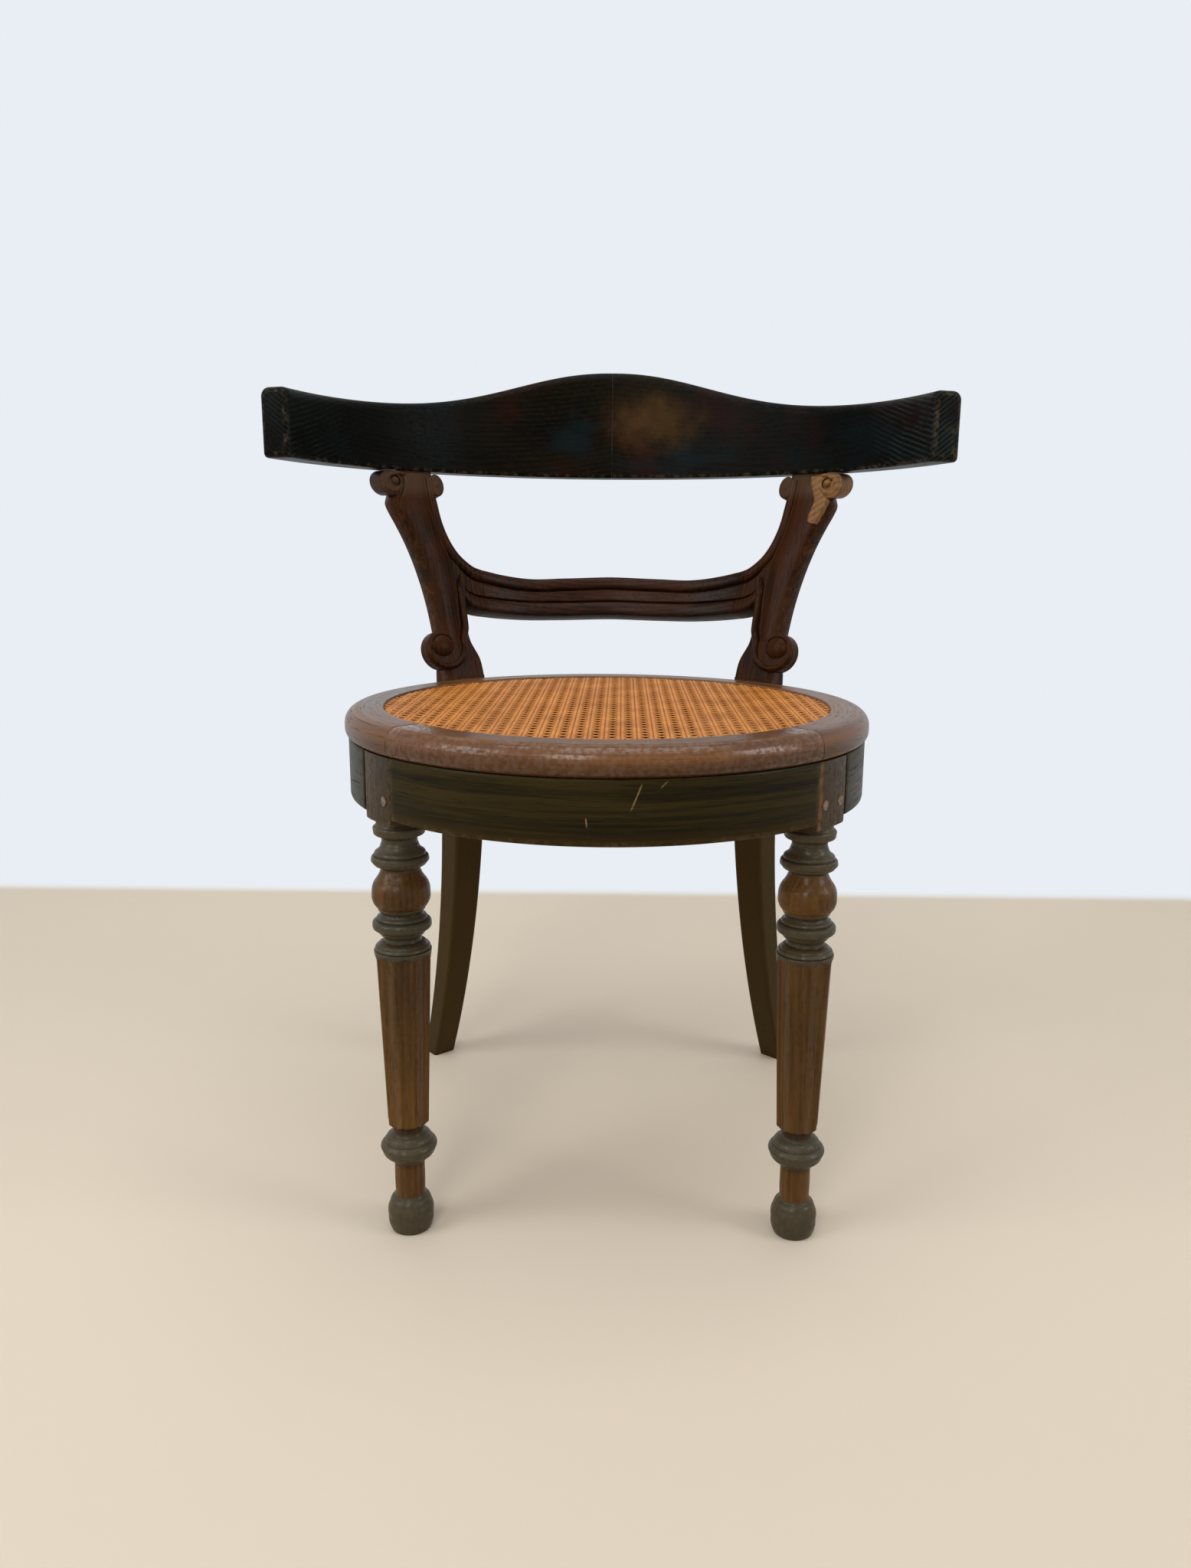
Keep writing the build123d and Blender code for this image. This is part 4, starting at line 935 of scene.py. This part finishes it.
def crest_marks(place, colour):
    """The crest's own marks, over its colour.

    Red clouds of old polish, and blue-green clouds of painted sheen; a feathered figure at the ends, bands
    of Z less the distance in X from the end's arris, its bands painted as blue-green sheen; combed grain,
    bands of Z less a share of X, painted as grey-blue sheen; a brown patch worn by backs, fading by
    distance; and a thin pale glue line at X 0.
    """
    red = (0.022, 0.0045, 0.003, 1)
    teal_sheen = (0.006, 0.012, 0.014, 1)
    end_black = (0.0012, 0.0022, 0.0020, 1)
    feather_sheen = (0.016, 0.028, 0.028, 1)
    comb_sheen = (0.012, 0.016, 0.019, 1)
    worn_brown = (0.066, 0.034, 0.011, 1)
    glue = (0.12, 0.10, 0.08, 1)
    end_arris = 0.301
    x = place.axis(0)
    z = place.axis(2)
    colour = (place.noise(13.0, 3.0).step(0.50, 0.72) * 0.8).blend(colour, red)
    # Painted sheen: blue-green clouds of reflected light on the dark varnish.
    colour = (place.stretched(9, 9, 22).noise(1.0, 3.0).step(0.52, 0.70) * 0.7).blend(colour, teal_sheen)
    side = abs(x)
    away = abs(side - end_arris)
    feather = (z - away * 0.8) * 1250.0 + place.noise(60.0, 2.0) * 3.0
    bands = feather.sine().step(-0.2, 0.9) * (1 - away.step(0.012, 0.05))
    bands = bands * (0.35 + x.step(-0.1, 0.1) * 0.65)
    colour = (side.step(0.10, 0.20) * 0.6).blend(colour, end_black)
    # The feathered figure, drawn in blue-green as painted sheen.
    colour = (bands * place.noise(40.0, 3.0).step(0.3, 0.6) * 0.8).blend(colour, feather_sheen)
    combed = (z - x * 0.6) * 2100.0 + place.noise(45.0, 3.0) * 5.0
    strip = x.step(0.05, 0.085) * (1 - x.step(0.13, 0.165)) * combed.sine().step(0.0, 1.0)
    # The combed grain, drawn in grey-blue as painted sheen.
    colour = (strip * 0.6).blend(colour, comb_sheen)
    wide = (x - 0.043) * 16.0
    tall = (z - 0.737) * 29.0
    spread = wide * wide + tall * tall + (place.noise(30.0, 4.0, 0.65) - 0.5) * 2.2
    rubbed = (1 - spread.step(-0.5, 1.4)) * (0.45 + place.noise(75.0, 3.0) * 0.8)
    colour = rubbed.blend(colour, worn_brown)
    seam = 1 - (x * x).step(2.0e-8, 1.6e-7)
    return (seam * place.noise(70.0, 3.0).step(0.3, 0.6) * 0.35).blend(colour, glue)


crest_finish = {"gloss": 0.36, "specular": 0.03, "wear": 0.6, "marks": crest_marks, "shine": 0.01}
crest_right_oak = oak("crest oak right", (0, 0, 32), *crest_colours, **crest_finish)
crest_left_oak = oak("crest oak left", (0, 0, -32), *crest_colours, **crest_finish)
make("crest_right", crest_half(), crest_right_oak, "crest_oak", "crest_rail_right")
make("crest_left", mirrored(crest_half()), crest_left_oak, "crest_oak", "crest_rail_left")

# Fixings: split oak pegs driven through blocks and tenons, paler where their ends are worn; corner blocks
# and tongues of plain unvarnished oak, glued where they don't show; and countersunk steel screws, dulled
# to a grey brown.
peg_colours = (0.10, 0.065, 0.04, 1), (0.25, 0.18, 0.12, 1), (0.3, 0.22, 0.15, 1)
peg_wood = oak("peg wood", (0, 0, 0), *peg_colours, gloss=0.5)
inner_colours = (0.12, 0.075, 0.042, 1), (0.33, 0.22, 0.13, 1), (0.3, 0.2, 0.12, 1)
inner_wood = oak("bare oak", (0, 0, 0), *inner_colours, gloss=0.7, specular=0.15)
screw_steel, steel = plain("dull steel", roughness=0.5, coat=0.0, coat_roughness=0.2)
rust = steel.node("TexCoord", output=3).noise(400.0, 3.0).step(0.45, 0.7)
rust.blend((0.22, 0.21, 0.20, 1), (0.12, 0.06, 0.03, 1)).into("Base Color")
(1 - rust * 0.7).into("Metallic")
kept = {"peg_wood": peg_wood, "inner_wood": inner_wood, "screw_steel": screw_steel}
for subpart in frame["record"]["subparts"]:
    if subpart["material_slot"] in kept:
        for slot in frame["nodes"][subpart["node"]].material_slots:
            slot.material = kept[subpart["material_slot"]]

# Studio: one sheet that is floor and backdrop, painted as a tan floor that turns pale further back. A
# large soft lamp from the front left, weaker ones from the right, from above and from in front, and a
# surround that is pale in sight but dim as a light.
sheet_depth = 1.6
sheet_turn = 0.3
sheet_half_width = 6.0


def studio_sheet():
    """A sheet that runs back along the floor, turns up through a quarter circle and rises."""
    floor = np.stack([np.linspace(-4, sheet_depth - sheet_turn, 8), np.zeros(8)], -1)
    bend = np.linspace(0, np.pi / 2, 9)[1:]
    back = sheet_depth - sheet_turn + sheet_turn * np.sin(bend)
    curve = np.stack([back, sheet_turn * (1 - np.cos(bend))], -1)
    upright = np.stack([np.full(4, sheet_depth), np.linspace(sheet_turn, 4, 5)[1:]], -1)
    line = np.concatenate([floor, curve, upright])
    wide = np.array([-sheet_half_width, sheet_half_width])[None, :]
    grid = np.stack(np.broadcast_arrays(wide, line[:, :1], line[:, 1:]), -1)
    row = np.arange(len(line) - 1)[:, None] * 2
    mesh = bpy.data.meshes.new("studio_sheet")
    mesh.from_pydata(grid.reshape(-1, 3).tolist(), [], (row + np.array([0, 1, 3, 2])).tolist())
    mesh.shade_smooth()
    return mesh


sheet = bpy.data.objects.new("studio_sheet", studio_sheet())
bpy.context.scene.collection.objects.link(sheet)
paper, paper_start = plain("studio paper", roughness=0.75, coat=0.0, coat_roughness=0.2)
spot = paper_start.node("TexCoord", output=3)
x = spot.axis(0)
y = spot.axis(1)
far = y.step(0.81, 0.87) + (x * x + y * y).step(3.0, 12.0)
tan_to_pale = far.blend((0.73, 0.63, 0.505, 1), (0.95, 0.96, 0.97, 1))
(spot.noise(3.0, 4.0) * 0.08).blend(tan_to_pale, (0.5, 0.42, 0.33, 1)).into("Base Color")


def pale_in_sight(start, dim, share=1.0):
    """A shader that is an even pale blue in sight and in reflections, by the kind of ray.

    Other rays, and a part of the surface where the share is less than 1, get the dim shader.
    """
    seen = start.node("LightPath", output="Is Camera Ray") + start.node("LightPath", output="Is Glossy Ray")
    seen = (seen + start.node("LightPath", output="Is Transmission Ray")) * share
    even = start.node("Emission", {}, {"Color": (0.81, 0.855, 0.90, 1)})
    return start.node("MixShader", {}, {0: seen, 1: dim, 2: even})


lit = Field(paper.node_tree, paper.node_tree.nodes["Principled BSDF"].outputs[0])
in_sight = pale_in_sight(paper_start, lit, far)
paper.node_tree.links.new(in_sight.socket, paper.node_tree.nodes["Material Output"].inputs["Surface"])
sheet.data.materials.append(paper)

world = bpy.data.worlds.new("studio")
bpy.context.scene.world = world
world.use_nodes = True
background = world.node_tree.nodes["Background"]
background.inputs["Color"].default_value = (1.0, 0.95, 0.88, 1)
background.inputs["Strength"].default_value = 0.12
surround = pale_in_sight(Field(world.node_tree), Field(world.node_tree, background.outputs[0]))
world.node_tree.links.new(surround.socket, world.node_tree.nodes["World Output"].inputs["Surface"])


def soft_lamp(name, place, target, width, height, power, colour):
    """An area light at a place, turned to face a target."""
    light = bpy.data.lights.new(name, "AREA")
    light.shape = "RECTANGLE"
    light.size = width
    light.size_y = height
    light.energy = power
    light.color = colour
    lamp = bpy.data.objects.new(name, light)
    lamp.location = place
    lamp.rotation_euler = (Vector(target) - Vector(place)).to_track_quat("-Z", "Y").to_euler()
    bpy.context.scene.collection.objects.link(lamp)


soft_lamp("key", (-2.3, -1.2, 1.8), (0, 0, 0.45), 1.5, 1.7, 35, (0.93, 0.97, 1.0))
soft_lamp("fill", (2.5, -0.9, 1.5), (0, 0, 0.4), 1.2, 1.4, 24, (0.96, 0.98, 1.0))
soft_lamp("top", (0.1, -0.5, 2.7), (0, 0, 0.5), 2.4, 1.8, 33, (0.98, 0.99, 1.0))
soft_lamp("front", (-0.6, -2.4, 1.7), (0, 0, 0.45), 0.8, 1.3, 18, (1.0, 0.98, 0.95))

picture_rows = 2048
focal_rows = 1500
camera = bpy.data.objects.new("camera", bpy.data.cameras.new("camera"))
camera.data.sensor_fit = "VERTICAL"
camera.data.sensor_height = 36.0
camera.data.lens = camera.data.sensor_height * focal_rows / picture_rows
camera.data.shift_x = -0.0081
camera.location = (0.0130, seat_centre[1] - 1.0626, 0.6077)
camera.rotation_euler = (radians(90 - 12.01), radians(-0.4), radians(0.7))
bpy.context.scene.collection.objects.link(camera)
bpy.context.scene.camera = camera
bpy.context.scene.view_settings.view_transform = "Standard"
